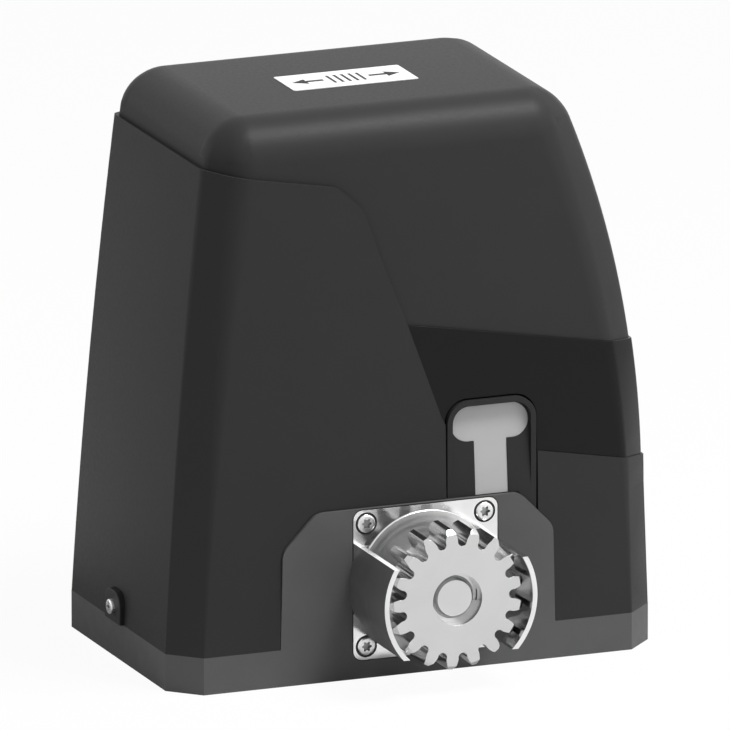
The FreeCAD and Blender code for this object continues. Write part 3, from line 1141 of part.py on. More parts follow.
def make_cover():
    far = s.base_width / 2 + 10
    low = COVER_BASE - 5
    switch_left = s.switch_x - s.switch_width / 2
    switch_right = s.switch_x + s.switch_width / 2
    notch_z = s.band_bottom_z - 2
    skirt_points = [(-far, low), (far, low), (far, band_bottom(far)), (switch_right, s.band_bottom_z),
                    (switch_left, notch_z), (switch_left, s.band_foot_z - 6), (s.band_foot_x, s.band_foot_z),
                    (-s.seam_corner_x + 14, seam_height(-s.seam_corner_x) - 13),
                    (-s.seam_corner_x, seam_height(-s.seam_corner_x)), (-far, seam_height(-far))]
    skirt_points[7:7] = [(-s.band_left_x, s.band_top_z), (-17, 220)]
    skirt_prism = padded("skirt_prism", skirt_points, s.base_depth + 20, (0, BACK + 10, 0), "front")
    rounded(skirt_prism, [skirt_points[-2], skirt_points[-3]], s.seam_round)
    band_points = [(switch_right, s.band_bottom_z), (far, band_bottom(far)), (far, band_top(far)),
                   (-s.band_left_x, s.band_top_z), (s.band_foot_x, s.band_foot_z),
                   (switch_left, s.band_foot_z - 6), (switch_left, notch_z)]
    band_prism = padded("band_prism", band_points, s.base_depth + 20, (0, BACK + 10, 0), "front")

    skirt = common("skirt", hood_block("skirt_hood", Size.of(0), domed=False), skirt_prism)
    upper_block = hood_block("upper_hood", s.skirt_step)
    inner = hood_block("inner_hood", s.skirt_step + s.cover_wall)
    shell = fuse("cover_solid", [skirt, upper_block])

    front_cut = tower_plate("cover_tower_cut", s.seam, s.tower_wall + 10, FRONT + s.tower_wall)
    rear_cut = rear_plate("cover_rear_cut", s.seam, s.tower_wall + 10, BACK + 10)
    notch_outline = switch_outline(s.switch_gap)
    notch = rounded(padded("cover_switch_cut", notch_outline, s.switch_depth + 20,
                           (s.switch_x, -s.switch_face_y + s.switch_depth + 4, 0), "front"),
                    notch_outline[2:], s.switch_round + s.switch_gap)
    tools = [inner, front_cut, rear_cut, notch]
    for side in (-1, 1):
        outline = tab_outline(s.seam)
        tools.append(rounded(padded("cover_tab_cut_%d" % side, outline, 20,
                                    (side * s.base_width / 2 - 10, s.tab_y, 0), "side"),
                             outline[2:], s.tab_round))
    node("cover", cut("cover", shell, tools))

    band_outer = common("band_outer", hood_block("band_hood", s.band_step, domed=False), band_prism)
    node("accent_band", cut("accent_band", band_outer, [upper_block, notch]))


def tab_outline(grow):
    half = s.tab_width / 2 + grow
    return rectangle(-half, s.base_height, half, s.tab_top + grow)


def make_cover_fittings():
    screws = []
    lip_x = s.base_width / 2 - s.lip_setback
    for side, word in ((-1, "left"), (1, "right")):
        outline = tab_outline(0)
        outside = side * (s.base_width / 2 + s.tab_proud)
        start = outside if side < 0 else lip_x
        thickness = s.base_width / 2 + s.tab_proud - lip_x
        tab = rounded(padded("side_tab_body_" + word, outline, thickness, (start, s.tab_y, 0), "side"),
                      outline[2:], s.tab_round)
        hole = cylinder("side_tab_hole_" + word, 2.2, 30, (side * s.base_width / 2 - 15, s.tab_y, s.tab_screw_z),
                        "x")
        node("side_tab_" + word, cut("side_tab_" + word, tab, [hole]))
        head = s.tab_screw_head / 2
        toward = Rotation(Vector(0, 1, 0), 90 * side)
        screws.append(turned("cover_screw_" + word, [
            (0, -16), (2, -16), (2, 0), (head, 0), (head, 0.8), (head * 0.7, 1.8), (1.6, 2.1), (1.6, 0.8), (0, 0.8)],
            (outside, s.tab_y, s.tab_screw_z), toward))
    node("cover_screws", group("cover_screws", screws))
    plate = rectangle(-s.label_width / 2, -s.label_depth / 2, s.label_width / 2, s.label_depth / 2)
    node("label_plate", rounded(padded("label_plate", plate, s.label_thickness,
                                       (s.label_x, s.label_y, s.cover_top)), plate, 1.0))


def make_limit_switch():
    across = s.switch_width / 2
    outline = [(-across, s.tower_top), (s.tower_half_top - s.switch_x, s.tower_top),
               (across, s.tower_top - SHOULDER_FALL), (across, s.switch_top), (-across, s.switch_top)]
    block = rounded(padded("switch_block", outline, s.switch_depth,
                           (s.switch_x, -s.switch_face_y + s.switch_depth, 0), "front"),
                    outline[3:], s.switch_round)
    # The recess floor and the sensor face lean back from the vertical rim.
    lean = Rotation(Vector(1, 0, 0), 90 - float(s.switch_lean))
    foot_z = s.tower_top + s.switch_rim
    at = (s.switch_x, -s.switch_face_y, foot_z)
    half = s.switch_width / 2 - s.switch_rim
    recess_outline = rectangle(-half, -10, half, s.switch_top - s.switch_rim - foot_z)
    recess = rounded(padded("switch_recess", recess_outline, 15, at, lean), recess_outline[2:],
                     s.switch_round - s.switch_rim)
    case_room = cylinder("switch_case_room", wheel_room() + s.case_wall + s.part_gap, 20,
                         (OUT_X, CASE_FRONT - s.part_gap, OUT_Z), "y")
    node("limit_switch_housing", cut("limit_switch_housing", block, [
        recess, sensor_shape("switch_pocket", 0.15, 8, at, lean, foot_z), case_room]))
    node("limit_sensor_face", sensor_shape("limit_sensor_face", 0, s.face_thickness, at, lean, foot_z))


def sensor_shape(name, grow, thickness, at, lean, foot_z):
    """The T-shaped face: a long pill across the top and a stem down to the output flange."""
    half = s.face_width / 2 + grow
    top = s.face_top - foot_z
    bottom = top - s.face_height
    bar_outline = rectangle(-half, bottom - grow, half, top + grow)
    stem_half = s.stem_width / 2 + grow
    stem_foot = s.part_gap * 1.5 - s.switch_rim
    stem_outline = rectangle(-stem_half, stem_foot, stem_half, bottom + s.face_height / 2)
    back = s.face_thickness + s.face_sink
    pieces = [rounded(padded(name + "_bar", bar_outline, thickness), bar_outline,
                      s.face_height / 2 - 0.05 + grow),
              padded(name + "_stem", stem_outline, thickness)]
    shape = fuse(name, pieces)
    normal = lean.multVec(Vector(0, 0, 1))
    sunk = [at[0] + normal.x * -back, at[1] + normal.y * -back, at[2] + normal.z * -back]
    return place(shape, sunk, lean)


def make_all():
    make_base()
    make_base_fittings()
    make_flange()
    make_pinion()
    make_output_shaft()
    make_worm_wheel()
    make_rotor()
    make_bearings()
    make_gear_case()
    make_clutch()
    make_release()
    make_motor()
    make_controls()
    make_cover()
    make_cover_fittings()
    make_limit_switch()


make_all()
document.recompute()

failed = [item.Name for item in document.Objects if "Invalid" in item.State or "Error" in item.State]
assert not failed, "features failed: %s" % failed
os.makedirs("parts", exist_ok=True)
for name, thing in NODES.items():
    shape = thing.Shape
    assert not shape.isNull() and shape.isValid(), "bad shape: %s" % name
    shape.exportStep("parts/%s.step" % name)
    print("%-22s solids %d  volume %.0f" % (name, len(shape.Solids), shape.Volume))
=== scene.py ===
# %% [markdown]
# # A sliding gate motor, dressed
# The solids come finished from CAD: every piece is already at its real size and place.
# This notebook adds what CAD leaves out: soft light, a camera, surfaces, and the small
# details of the outer pieces, such as screw drives and the fine round on a moulded edge.
# Everything is in metres, in the frame of the CAD model: X runs along the gate, Z is up,
# and the pinion faces -Y. The record gives the joints, and with them the shaft's axis.

# %% Load the frame
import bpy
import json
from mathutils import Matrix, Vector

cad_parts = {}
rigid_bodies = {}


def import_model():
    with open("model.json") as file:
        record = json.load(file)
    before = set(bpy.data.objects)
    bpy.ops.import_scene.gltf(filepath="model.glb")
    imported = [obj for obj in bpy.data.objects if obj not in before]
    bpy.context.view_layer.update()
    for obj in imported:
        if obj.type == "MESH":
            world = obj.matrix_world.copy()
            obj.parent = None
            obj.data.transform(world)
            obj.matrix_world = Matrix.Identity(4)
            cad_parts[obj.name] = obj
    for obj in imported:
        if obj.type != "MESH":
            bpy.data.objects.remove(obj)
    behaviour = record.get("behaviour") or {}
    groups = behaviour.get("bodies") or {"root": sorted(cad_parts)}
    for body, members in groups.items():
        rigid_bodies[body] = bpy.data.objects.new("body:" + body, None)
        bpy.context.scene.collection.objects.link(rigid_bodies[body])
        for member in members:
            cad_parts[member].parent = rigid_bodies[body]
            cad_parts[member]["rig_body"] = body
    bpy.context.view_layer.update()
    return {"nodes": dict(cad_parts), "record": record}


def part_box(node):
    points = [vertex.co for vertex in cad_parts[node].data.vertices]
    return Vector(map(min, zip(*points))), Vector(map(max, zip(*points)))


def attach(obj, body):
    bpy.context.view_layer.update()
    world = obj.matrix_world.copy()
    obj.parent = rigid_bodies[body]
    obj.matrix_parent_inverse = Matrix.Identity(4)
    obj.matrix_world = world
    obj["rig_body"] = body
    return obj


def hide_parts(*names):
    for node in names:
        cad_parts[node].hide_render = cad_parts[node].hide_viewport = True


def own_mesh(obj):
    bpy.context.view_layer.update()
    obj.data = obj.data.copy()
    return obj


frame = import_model()

import json
import math

import bmesh
import bpy
from mathutils import Matrix, Vector

scene = bpy.context.scene
nodes = frame["nodes"]
record = frame["record"]
slot_of = {part["node"]: part["material_slot"] for part in record["subparts"]}
joints = {joint["name"]: joint for joint in record["behaviour"]["joints"]}
shaft_axis = tuple(joints["output_spin"]["pos_m"])
print("the output shaft runs along Y through", shaft_axis)

# %% [markdown]
# ## Camera
# The object is seen a little from its left and a little from above, with almost no
# perspective. An orthographic camera would give that too, but a very long lens far away
# keeps the same camera useful from every side. The camera looks at `LOOK_AT`, and `back`
# is the direction from there to the camera. `NEAR_FACE` moves it back a little, so that
# the front of the object, rather than its middle, is shown at full size.

# %% Camera
AZIMUTH, ELEVATION = math.radians(-21.77), math.radians(15.11)
LENS, SENSOR = 1600.0, 36.0
HALF_WIDTH = 0.1913
LOOK_AT = Vector((0.0163, 0.0330, 0.1358))
NEAR_FACE = 0.035

back = Vector((math.sin(AZIMUTH) * math.cos(ELEVATION),
               -math.cos(AZIMUTH) * math.cos(ELEVATION), math.sin(ELEVATION)))
camera = bpy.data.objects.new("camera", bpy.data.cameras.new("camera"))
camera.data.lens, camera.data.sensor_width = LENS, SENSOR
camera.data.clip_start, camera.data.clip_end = 1.0, 100.0
camera.location = LOOK_AT + back * (HALF_WIDTH * LENS / (SENSOR / 2) + NEAR_FACE)
camera.rotation_mode = "QUATERNION"
camera.rotation_quaternion = (-back).to_track_quat("-Z", "Y")
scene.collection.objects.link(camera)
scene.camera = camera
scene.view_settings.view_transform = "Standard"
print("camera at", [round(value, 3) for value in camera.location])

# %% [markdown]
# ## Node helpers
# Each finish below is a Principled shader with a few texture nodes. These helpers keep a
# finish to a few lines: `start` makes the material, `place_of` gives Object coordinates,
# and `noise` a pattern on them. `roughened` turns a pattern into a band of roughness,
# `tinted` into a band of colours, and `bumped` into a relief. `grey` and `varied` give
# the colours: one grey, and the two ends of a band about a colour.

# %% Node helpers
def start(name, roughness, metallic=0.0, specular=0.5):
    material = bpy.data.materials.new(name)
    material.use_nodes = True
    shader = material.node_tree.nodes["Principled BSDF"]
    shader.inputs["Roughness"].default_value = roughness
    shader.inputs["Metallic"].default_value = metallic
    shader.inputs["Specular IOR Level"].default_value = specular
    return material


def shader_of(material):
    return material.node_tree.nodes["Principled BSDF"]


def add(owner, kind, links=None, **values):
    """A new node in a material or in the world, with its sockets linked or given values."""
    node = owner.node_tree.nodes.new(kind)
    for socket, value in values.items():
        node.inputs[socket.replace("_", " ")].default_value = value
    for socket, source in (links or {}).items():
        owner.node_tree.links.new(source, node.inputs[socket])
    return node


def place_of(material, centre=(0, 0, 0), stretch=(1, 1, 1)):
    """Object coordinates, moved so that a pattern can be centred or stretched."""
    source = add(material, "ShaderNodeTexCoord").outputs["Object"]
    mapping = add(material, "ShaderNodeMapping", {"Vector": source}, Location=centre, Scale=stretch)
    mapping.vector_type = "TEXTURE"
    return mapping.outputs["Vector"]


def noise(material, scale, detail=3.0, place=None):
    texture = add(material, "ShaderNodeTexNoise", {"Vector": place or place_of(material)},
                  Scale=scale, Detail=detail)
    return texture.outputs["Fac"]


def roughened(material, pattern, low, high, first=0.3, last=0.7):
    """Roughness that goes from `low` to `high` as the pattern goes from `first` to `last`."""
    band = add(material, "ShaderNodeMapRange", {"Value": pattern},
               From_Min=first, From_Max=last, To_Min=low, To_Max=high)
    material.node_tree.links.new(band.outputs["Result"], shader_of(material).inputs["Roughness"])


def tinted(material, pattern, dark, light, first=0.3, last=0.7):
    """Colour that goes from `dark` to `light` as the pattern goes from `first` to `last`."""
    ramp = add(material, "ShaderNodeValToRGB", {"Fac": pattern})
    for stop, position, colour in zip(ramp.color_ramp.elements, (first, last), (dark, light)):
        stop.position = position
        stop.color = (*colour, 1)
    material.node_tree.links.new(ramp.outputs["Color"], shader_of(material).inputs["Base Color"])


def bumped(material, pattern, depth, strength=1.0, under=None):
    """Relief `depth` metres deep, on top of the relief `under`, if there is one."""
    links = {"Height": pattern}
    if under:
        links["Normal"] = under
    bump = add(material, "ShaderNodeBump", links, Strength=strength, Distance=depth)
    material.node_tree.links.new(bump.outputs["Normal"], shader_of(material).inputs["Normal"])
    return bump.outputs["Normal"]


def grey(level):
    return (level,) * 3


def varied(colour, share):
    """The darker and the lighter colour of a surface that varies by that share."""
    darker = tuple(value * (1 - share) for value in colour)
    lighter = tuple(min(value * (1 + share), 1) for value in colour)
    return darker, lighter

# %% [markdown]
# ## Surround
# The camera, and mirror-like surfaces, see the surround as plain white; everything else
# gets the softer light of a grey studio. Light Path tells the world which kind of ray
# asks. A white world for every ray would be simpler, but it would wash out the dark
# plastic and leave no shadow under the object.

# %% Surround
WORLD_LIGHT = 0.31
world = bpy.data.worlds.new("surround")
world.use_nodes = True
scene.world = world
path = add(world, "ShaderNodeLightPath")
seen = add(world, "ShaderNodeMath", {
    0: path.outputs["Is Camera Ray"], 1: path.outputs["Is Glossy Ray"]})
seen.operation = "MAXIMUM"
seen_through = add(world, "ShaderNodeMath", {
    0: seen.outputs[0], 1: path.outputs["Is Transmission Ray"]})
seen_through.operation = "MAXIMUM"
brightness = add(world, "ShaderNodeMapRange", {"Value": seen_through.outputs[0]},
                 To_Min=WORLD_LIGHT, To_Max=1.0)
background = world.node_tree.nodes["Background"]
background.inputs["Color"].default_value = (1, 1, 1, 1)
world.node_tree.links.new(brightness.outputs["Result"], background.inputs["Strength"])
print("diffuse light from the surround:", WORLD_LIGHT)

# %% [markdown]
# ## Floor
# A pale floor carries the object's shadow. One large grid is enough. For the camera it
# is mostly self-lit, so it stays nearly white to its edge, where the white surround
# takes over, and the soft shadow still shows. It isn't part of the object.

# %% Floor
FLOOR_HALF = 3.0
SELF_LIT = 0.95
floor_mesh = bmesh.new()
bmesh.ops.create_grid(floor_mesh, x_segments=1, y_segments=1, size=FLOOR_HALF)
floor = bpy.data.objects.new("floor", bpy.data.meshes.new("floor"))
floor_mesh.to_mesh(floor.data)
floor_mesh.free()
scene.collection.objects.link(floor)
floor_finish = start("floor", 0.9, specular=0.0)
tinted(floor_finish, noise(floor_finish, scale=4.0), grey(0.78), grey(0.82))
own_light = add(floor_finish, "ShaderNodeEmission", Color=(1, 1, 1, 1), Strength=1.0)
floor_path = add(floor_finish, "ShaderNodeLightPath")
share = add(floor_finish, "ShaderNodeMath", {0: floor_path.outputs["Is Camera Ray"]})
share.operation = "MULTIPLY"
share.inputs[1].default_value = SELF_LIT
mixed = add(floor_finish, "ShaderNodeMixShader", {
    "Fac": share.outputs[0], 1: shader_of(floor_finish).outputs["BSDF"],
    2: own_light.outputs["Emission"]})
floor_output = floor_finish.node_tree.nodes["Material Output"]
floor_finish.node_tree.links.new(mixed.outputs["Shader"], floor_output.inputs["Surface"])
floor.data.materials.append(floor_finish)
print("floor:", 2 * FLOOR_HALF, "m wide")

# %% [markdown]
# ## Lamps
# One wide soft lamp overhead gives the rounded top its highlight and makes the top face
# lighter than the sides. A weaker one at the front right lights the panels and the right
# chamfer, and one at the back left lights the left side. The left chamfer faces neither,
# so it stays the darkest. A last one fills the back. Area lamps are used because a small
# lamp would draw hard spots on the satin plastic.

# %% Lamps
LAMPS = {
    # name: (place, aims at, width, depth, watts)
    "overhead": ((0.5, -0.5, 1.5), (0.0, 0.0, 0.25), 0.7, 0.5, 25.0),
    "back_left": ((-1.7, 0.8, 0.7), (0.0, 0.0, 0.15), 1.0, 1.0, 5.0),
    "back_right": ((1.8, 0.7, 0.5), (0.0, 0.0, 0.15), 1.2, 1.0, 3.0),
    "front_right": ((1.2, -1.5, 0.7), (0.0, 0.0, 0.15), 1.8, 1.4, 7.5),
}
for lamp_name, (spot, target, width, depth, watts) in LAMPS.items():
    lamp = bpy.data.objects.new(lamp_name, bpy.data.lights.new(lamp_name, "AREA"))
    lamp.data.shape, lamp.data.size, lamp.data.size_y = "RECTANGLE", width, depth
    lamp.data.energy = watts
    lamp.location = spot
    lamp.rotation_mode = "QUATERNION"
    lamp.rotation_quaternion = (Vector(target) - Vector(spot)).to_track_quat("-Z", "Y")
    scene.collection.objects.link(lamp)
print("lamps:", list(LAMPS))

# %% [markdown]
# ## Moulded plastics
# The hood, the accent band, the side tabs and the limit switch are moulded dark plastic.
# A real moulding is never one flat colour: the grain of the tool, slight flow marks and
# fingerprints change its colour and gloss. A flat dark shader would look like a paper
# cut-out, so each plastic gets a mottle in its colour, another in its gloss, and a fine
# grain as relief. The reflectance is kept low, because textured plastic scatters light.

# %% Moulded plastics
FLOW_MARKS, GLOSS_MARKS, TOOL_GRAIN = 45.0, 500.0, 2600.0  # scales of the three patterns
GLOSS_CHANGE = 0.03


def moulded(name, colour, roughness, specular, mottle=0.02, grain=0.00002):
    """Plastic whose colour varies by the share `mottle`, with a grain as deep as `grain`."""
    material = start(name, roughness, specular=specular)
    place = place_of(material)
    tinted(material, noise(material, FLOW_MARKS, place=place), *varied(colour, mottle))
    gloss = noise(material, GLOSS_MARKS, place=place)
    roughened(material, gloss, roughness - GLOSS_CHANGE, roughness + GLOSS_CHANGE)
    bumped(material, noise(material, TOOL_GRAIN, detail=2.0, place=place), depth=grain)
    return material


finishes = {
    "cover_plastic": moulded("cover_plastic", grey(0.027), 0.46, 0.12),
    "band_plastic": moulded("band_plastic", grey(0.0070), 0.16, 0.14, grain=0.000003),
    "tab_plastic": moulded("tab_plastic", grey(0.016), 0.45, 0.2),
    "switch_plastic": moulded("switch_plastic", grey(0.026), 0.48, 0.10),
    "sensor_grey": moulded("sensor_grey", grey(0.42), 0.5, 0.3, mottle=0.025, grain=0.000008),
    "lever_plastic": moulded("lever_plastic", grey(0.018), 0.3, 0.4, grain=0.000006),
    "bracket_plastic": moulded("bracket_plastic", grey(0.12), 0.5, 0.3),
    "nylon": moulded("nylon", (0.75, 0.74, 0.70), 0.45, 0.4, mottle=0.03),
    "terminal_plastic": moulded("terminal_plastic", (0.05, 0.28, 0.09), 0.45, 0.4),
    "relay_plastic": moulded("relay_plastic", (0.04, 0.13, 0.42), 0.25, 0.5, grain=0.000004),
    "capacitor_case": moulded("capacitor_case", (0.68, 0.68, 0.66), 0.4, 0.4, mottle=0.03),
    "seal_rubber": moulded("seal_rubber", grey(0.018), 0.7, 0.2, grain=0.00001),
}
print("moulded finishes:", len(finishes))

# %% [markdown]
# ## Painted casting
# The base is a die casting under satin dark grey paint. Paint levels out the casting's
# skin, but a slow waviness and a fine orange peel stay. Both are relief only: they are
# far too shallow to be worth modelling. The outside of the pinion guard has nearly the
# same paint, while its cut edges are left bare.

# %% Painted casting
def painted(name, level, roughness, specular):
    material = start(name, roughness, specular=specular)
    place = place_of(material)
    shade = noise(material, scale=30.0, detail=5.0, place=place)
    tinted(material, shade, *varied(grey(level), 0.06))
    gloss = noise(material, scale=110.0, place=place)
    roughened(material, gloss, roughness - 0.06, roughness + 0.06)
    peel = bumped(material, noise(material, scale=900.0, detail=2.0, place=place), depth=0.00002)
    waves = noise(material, scale=60.0, place=place)
    bumped(material, waves, depth=0.00015, strength=0.5, under=peel)
    return material


finishes["base_casting"] = painted("base_casting", 0.095, 0.5, 0.16)
# the same dark paint also serves as painted shade in the screw counterbores of the flange
guard_paint_and_sink_shade = painted("guard_paint_and_sink_shade", 0.105, 0.45, 0.16)
print("paint for the base and for the guard")

# %% [markdown]
# ## Metals
# Turned, ground, plated and cast metal differ in two things: how rough they are, and in
# which direction the marks run. `machined` draws shallow marks, which can be stretched
# along one axis, `cast_metal` has deeper ones, and `turned_face` lays rings about the
# output shaft's axis. A Wave texture in rings about Y depends only on the distance to
# that axis. Working that distance out with Vector Math nodes would do it too, but it
# takes more nodes.

# %% Metals
WAVE_PERIOD = math.pi / 10  # a Wave texture of scale 1 repeats after this length


def machined(name, colour, roughness, stretch=(1, 1, 1), mottle=0.04, depth=0.000006, scale=700.0):
    """Metal with fine tool marks `depth` deep; a larger `scale` makes them finer."""
    material = start(name, roughness, metallic=1.0)
    place = place_of(material)
    lay = place_of(material, stretch=stretch)
    tinted(material, noise(material, scale=70.0, place=place), *varied(colour, mottle))
    gloss = noise(material, scale=160.0, detail=4.0, place=lay)
    roughened(material, gloss, roughness * 0.75, roughness * 1.3)
    bumped(material, noise(material, scale, detail=2.0, place=lay), depth)
    return material


def cast_metal(name, colour, roughness):
    material = start(name, roughness, metallic=1.0)
    place = place_of(material)
    tinted(material, noise(material, scale=50.0, detail=5.0, place=place), *varied(colour, 0.10))
    gloss = noise(material, scale=120.0, place=place)
    roughened(material, gloss, roughness - 0.08, roughness + 0.10)
    bumped(material, noise(material, scale=1200.0, place=place), depth=0.00006)
    return material


def turned_face(name, colour, roughness, pitch=0.00377):
    """Metal faced on a lathe: faint rings `pitch` metres apart about the shaft's axis."""
    material = start(name, roughness, metallic=1.0)
    place = place_of(material, centre=shaft_axis)
    wave = add(material, "ShaderNodeTexWave", {"Vector": place}, Scale=WAVE_PERIOD / pitch,
               Distortion=0.4, Detail=1.0)
    wave.wave_type, wave.rings_direction = "RINGS", "Y"
    rings = wave.outputs["Fac"]
    tinted(material, noise(material, scale=60.0, place=place), *varied(colour, 0.025))
    roughened(material, rings, roughness * 0.9, roughness * 1.12, first=0.0, last=1.0)
    bumped(material, rings, depth=0.0000015)
    return material


metals = {
    "bright_steel": machined("bright_steel", grey(0.76), 0.13, mottle=0.05, depth=0.000002, scale=300.0),
    "gear_steel": turned_face("gear_steel", grey(0.585), 0.20),
    "shaft_steel": turned_face("shaft_steel", grey(0.60), 0.20, pitch=0.00251),
    "screw_steel": machined("screw_steel", grey(0.76), 0.28, mottle=0.08),
    "spring_steel": machined("spring_steel", (0.36, 0.36, 0.38), 0.3),
    "bearing_steel": machined("bearing_steel", (0.72, 0.72, 0.73), 0.12, depth=0.000002),
    "bronze": machined("bronze", (0.62, 0.40, 0.18), 0.28, mottle=0.08),
    "lock_metal": machined("lock_metal", grey(0.70), 0.15, depth=0.000003),
    "lock_brass": machined("lock_brass", (0.68, 0.52, 0.22), 0.22, stretch=(1, 1, 8)),
    "bare_casting": cast_metal("bare_casting", (0.60, 0.61, 0.62), 0.42),
}
finishes.update(metals)
print("metal finishes:", len(metals))

# %% [markdown]
# ## Wound and layered parts
# The motor and the transformer are stacks of thin sheet and coils of wire. Every sheet or
# turn as a solid would be tens of thousands of faces that nobody sees from outside, so a
# Wave texture in bands draws them as thin level lines, one above the other.

# %% Wound and layered parts
def banded(name, colours, roughness, pitch, metallic=0.0):
    """Fine level bands, `pitch` metres apart."""
    material = start(name, roughness, metallic=metallic, specular=0.4)
    wave = add(material, "ShaderNodeTexWave", {"Vector": place_of(material)},
               Scale=WAVE_PERIOD / pitch, Distortion=0.3, Detail=1.0)
    wave.wave_type, wave.bands_direction = "BANDS", "Z"
    bands = wave.outputs["Fac"]
    tinted(material, bands, *colours, first=0.0, last=0.6)
    roughened(material, noise(material, scale=150.0), roughness - 0.06, roughness + 0.08)
    bumped(material, bands, depth=0.0001, strength=0.6)
    return material


SHEET_COLOURS = ((0.14, 0.14, 0.15), (0.34, 0.34, 0.36))
COPPER_COLOURS = ((0.22, 0.07, 0.02), (0.62, 0.27, 0.11))
TAPE_COLOURS = ((0.60, 0.47, 0.12), (0.78, 0.64, 0.22))
wound = {
    "lamination": banded("lamination", SHEET_COLOURS, 0.45, pitch=0.001, metallic=0.9),
    "copper_winding": banded("copper_winding", COPPER_COLOURS, 0.3, pitch=0.0012, metallic=0.8),
    "coil_tape": banded("coil_tape", TAPE_COLOURS, 0.35, pitch=0.009),
}
finishes.update(wound)
print("banded finishes:", len(wound))

# %% [markdown]
# ## Board, gasket and label
# The control board is green solder resist over a faint pattern of copper tracks: a
# Voronoi texture with its straight cell edges stands in for them. The gasket is oiled
# paper with fibres, which a stretched noise gives. The label is smooth white film, with
# black ink for its sign.

# %% Board, gasket and label
def board_finish():
    material = start("circuit_board", 0.25)
    cells = add(material, "ShaderNodeTexVoronoi", {"Vector": place_of(material)}, Scale=220.0)
    cells.distance, cells.feature = "CHEBYCHEV", "F1"
    tracks = cells.outputs["Distance"]
    tinted(material, tracks, (0.03, 0.22, 0.08), (0.015, 0.12, 0.04), first=0.25, last=0.5)
    roughened(material, noise(material, scale=200.0), 0.2, 0.35)
    bumped(material, tracks, depth=0.00003)
    return material


def gasket_finish():
    material = start("gasket_paper", 0.8, specular=0.2)
    fibres = noise(material, scale=400.0, detail=6.0, place=place_of(material, stretch=(1, 1, 4)))
    tinted(material, fibres, (0.24, 0.18, 0.11), (0.40, 0.32, 0.20))
    roughened(material, fibres, 0.7, 0.9)
    bumped(material, fibres, depth=0.00005)
    return material


finishes["circuit_board"] = board_finish()
finishes["gasket_paper"] = gasket_finish()
finishes["label_white"] = moulded("label_white", grey(0.86), 0.35, 0.35, mottle=0.012, grain=0.000003)
print_ink = moulded("print_ink", grey(0.012), 0.5, 0.2, grain=0.000003)
missing = sorted(set(slot_of.values()) - set(finishes))
print("finishes:", len(finishes), "missing:", missing)

# %% [markdown]
# ## Dress the CAD nodes
# Each CAD node has one material slot in the record, so its finish is looked up by that
# slot's name. Nothing else about a CAD node is touched.

# %% Dress the nodes
for name, cad_node in nodes.items():
    cad_node.data.materials.clear()
    cad_node.data.materials.append(finishes[slot_of[name]])
print("dressed:", len(nodes))

# %% [markdown]
# ## Smooth skins for the outer pieces
# A CAD node arrives as loose flat triangles: right in shape, but a rounded corner shows
# its facets, and no edge is ever perfectly sharp on a moulding or a casting. For each
# outer piece a copy is merged, its soft edges are smoothed, and its hard edges get a
# fine round from a Bevel modifier. The flange has none, because a round on its polished
# edges would show as a broken bright line. The copy stands for the CAD node, which is
# hidden and keeps its part in the physics. Moving or changing the node itself isn't
# allowed.

# %% Smooth skins
SOFT_ANGLE = math.radians(35)  # edges that turn by less are shaded smooth
ROUND_ANGLE = math.radians(50)  # edges that turn by more get the fine round
MERGE_DISTANCE = 1e-6
OUTER = {
    # node: round on its sharp edges, in metres
    "cover": 0.0004, "accent_band": 0.0003, "base_casting": 0.0005, "output_flange": 0.0,
    "pinion": 0.00015, "output_shaft": 0.00015, "limit_switch_housing": 0.0006,
    "limit_sensor_face": 0.0003, "side_tab_left": 0.0006, "side_tab_right": 0.0006,
    "release_lever": 0.0006, "lock_barrel": 0.0002, "levelling_screws": 0.0002,
    "cable_grommet": 0.0004,
}
skins = {}


def softened(mesh):
    """Smooth shading, with the edges that turn by more than SOFT_ANGLE kept sharp."""
    for face in mesh.faces:
        face.smooth = True
    for edge in mesh.edges:
        edge.smooth = edge.is_manifold and edge.calc_face_angle() < SOFT_ANGLE


def smooth_skin(name, edge_round=0.0):
    """A merged, smooth-shaded copy of a CAD node, with its sharp edges rounded a little."""
    source = nodes[name]
    mesh = bmesh.new()
    mesh.from_mesh(source.data)
    bmesh.ops.remove_doubles(mesh, verts=mesh.verts, dist=MERGE_DISTANCE)
    softened(mesh)
    skin = bpy.data.objects.new(name + "_skin", bpy.data.meshes.new(name + "_skin"))
    mesh.to_mesh(skin.data)
    mesh.free()
    scene.collection.objects.link(skin)
    skin.data.materials.append(source.data.materials[0])
    if edge_round:
        bevel = skin.modifiers.new("edge_round", "BEVEL")
        bevel.width, bevel.segments = edge_round, 2
        bevel.limit_method, bevel.angle_limit = "ANGLE", ROUND_ANGLE
        bevel.harden_normals = True
        bevel.use_clamp_overlap = True
    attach(skin, source["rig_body"])
    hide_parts(name)
    skins[name] = skin
    return skin


for name, edge_round in OUTER.items():
    skin = smooth_skin(name, edge_round)
    print(name, "triangles", len(skin.data.polygons))

# %% [markdown]
# ## Disc springs
# Inside the gear case a stack of disc springs presses the clutch into the wheel. When the
# lever frees the clutch it slides 3 mm against them, and they flatten. A rigid stack would
# be cut by the clutch. Here the stack, which rests on the collar, gets a smooth copy with
# a mesh of its own; the copy is not squashed.

# %% Disc springs
springs = smooth_skin("clutch_springs")
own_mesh(springs)

# %% [markdown]
# ## Paint on the guard
# The guard round the pinion is one casting with the flange plate. The plate's face and
# the guard's cut edges are machined bright, and the curved outside stays painted. A
# second material on those faces shows that. They are found by their shape: in front of the
# plate, with a normal that points straight away from the shaft's axis. The counterbores
# of the four screws get the same dark material as painted shade, so a dark ring shows
# round each screw head where the gap round a head lies in shade.

# %% Paint on the guard and painted shade round the screws
HEAD_RADIUS, SINK_RADIUS = 0.005, 0.006
GUARD_ROOT = 0.004  # the rounded root between plate and guard is bare
GUARD_OUTSIDE = 0.0415  # the guard's outer wall lies further from the axis
STRAIGHT_OUT = 0.9
SKIN_DEEP, BESIDE = 0.0003, 0.0002

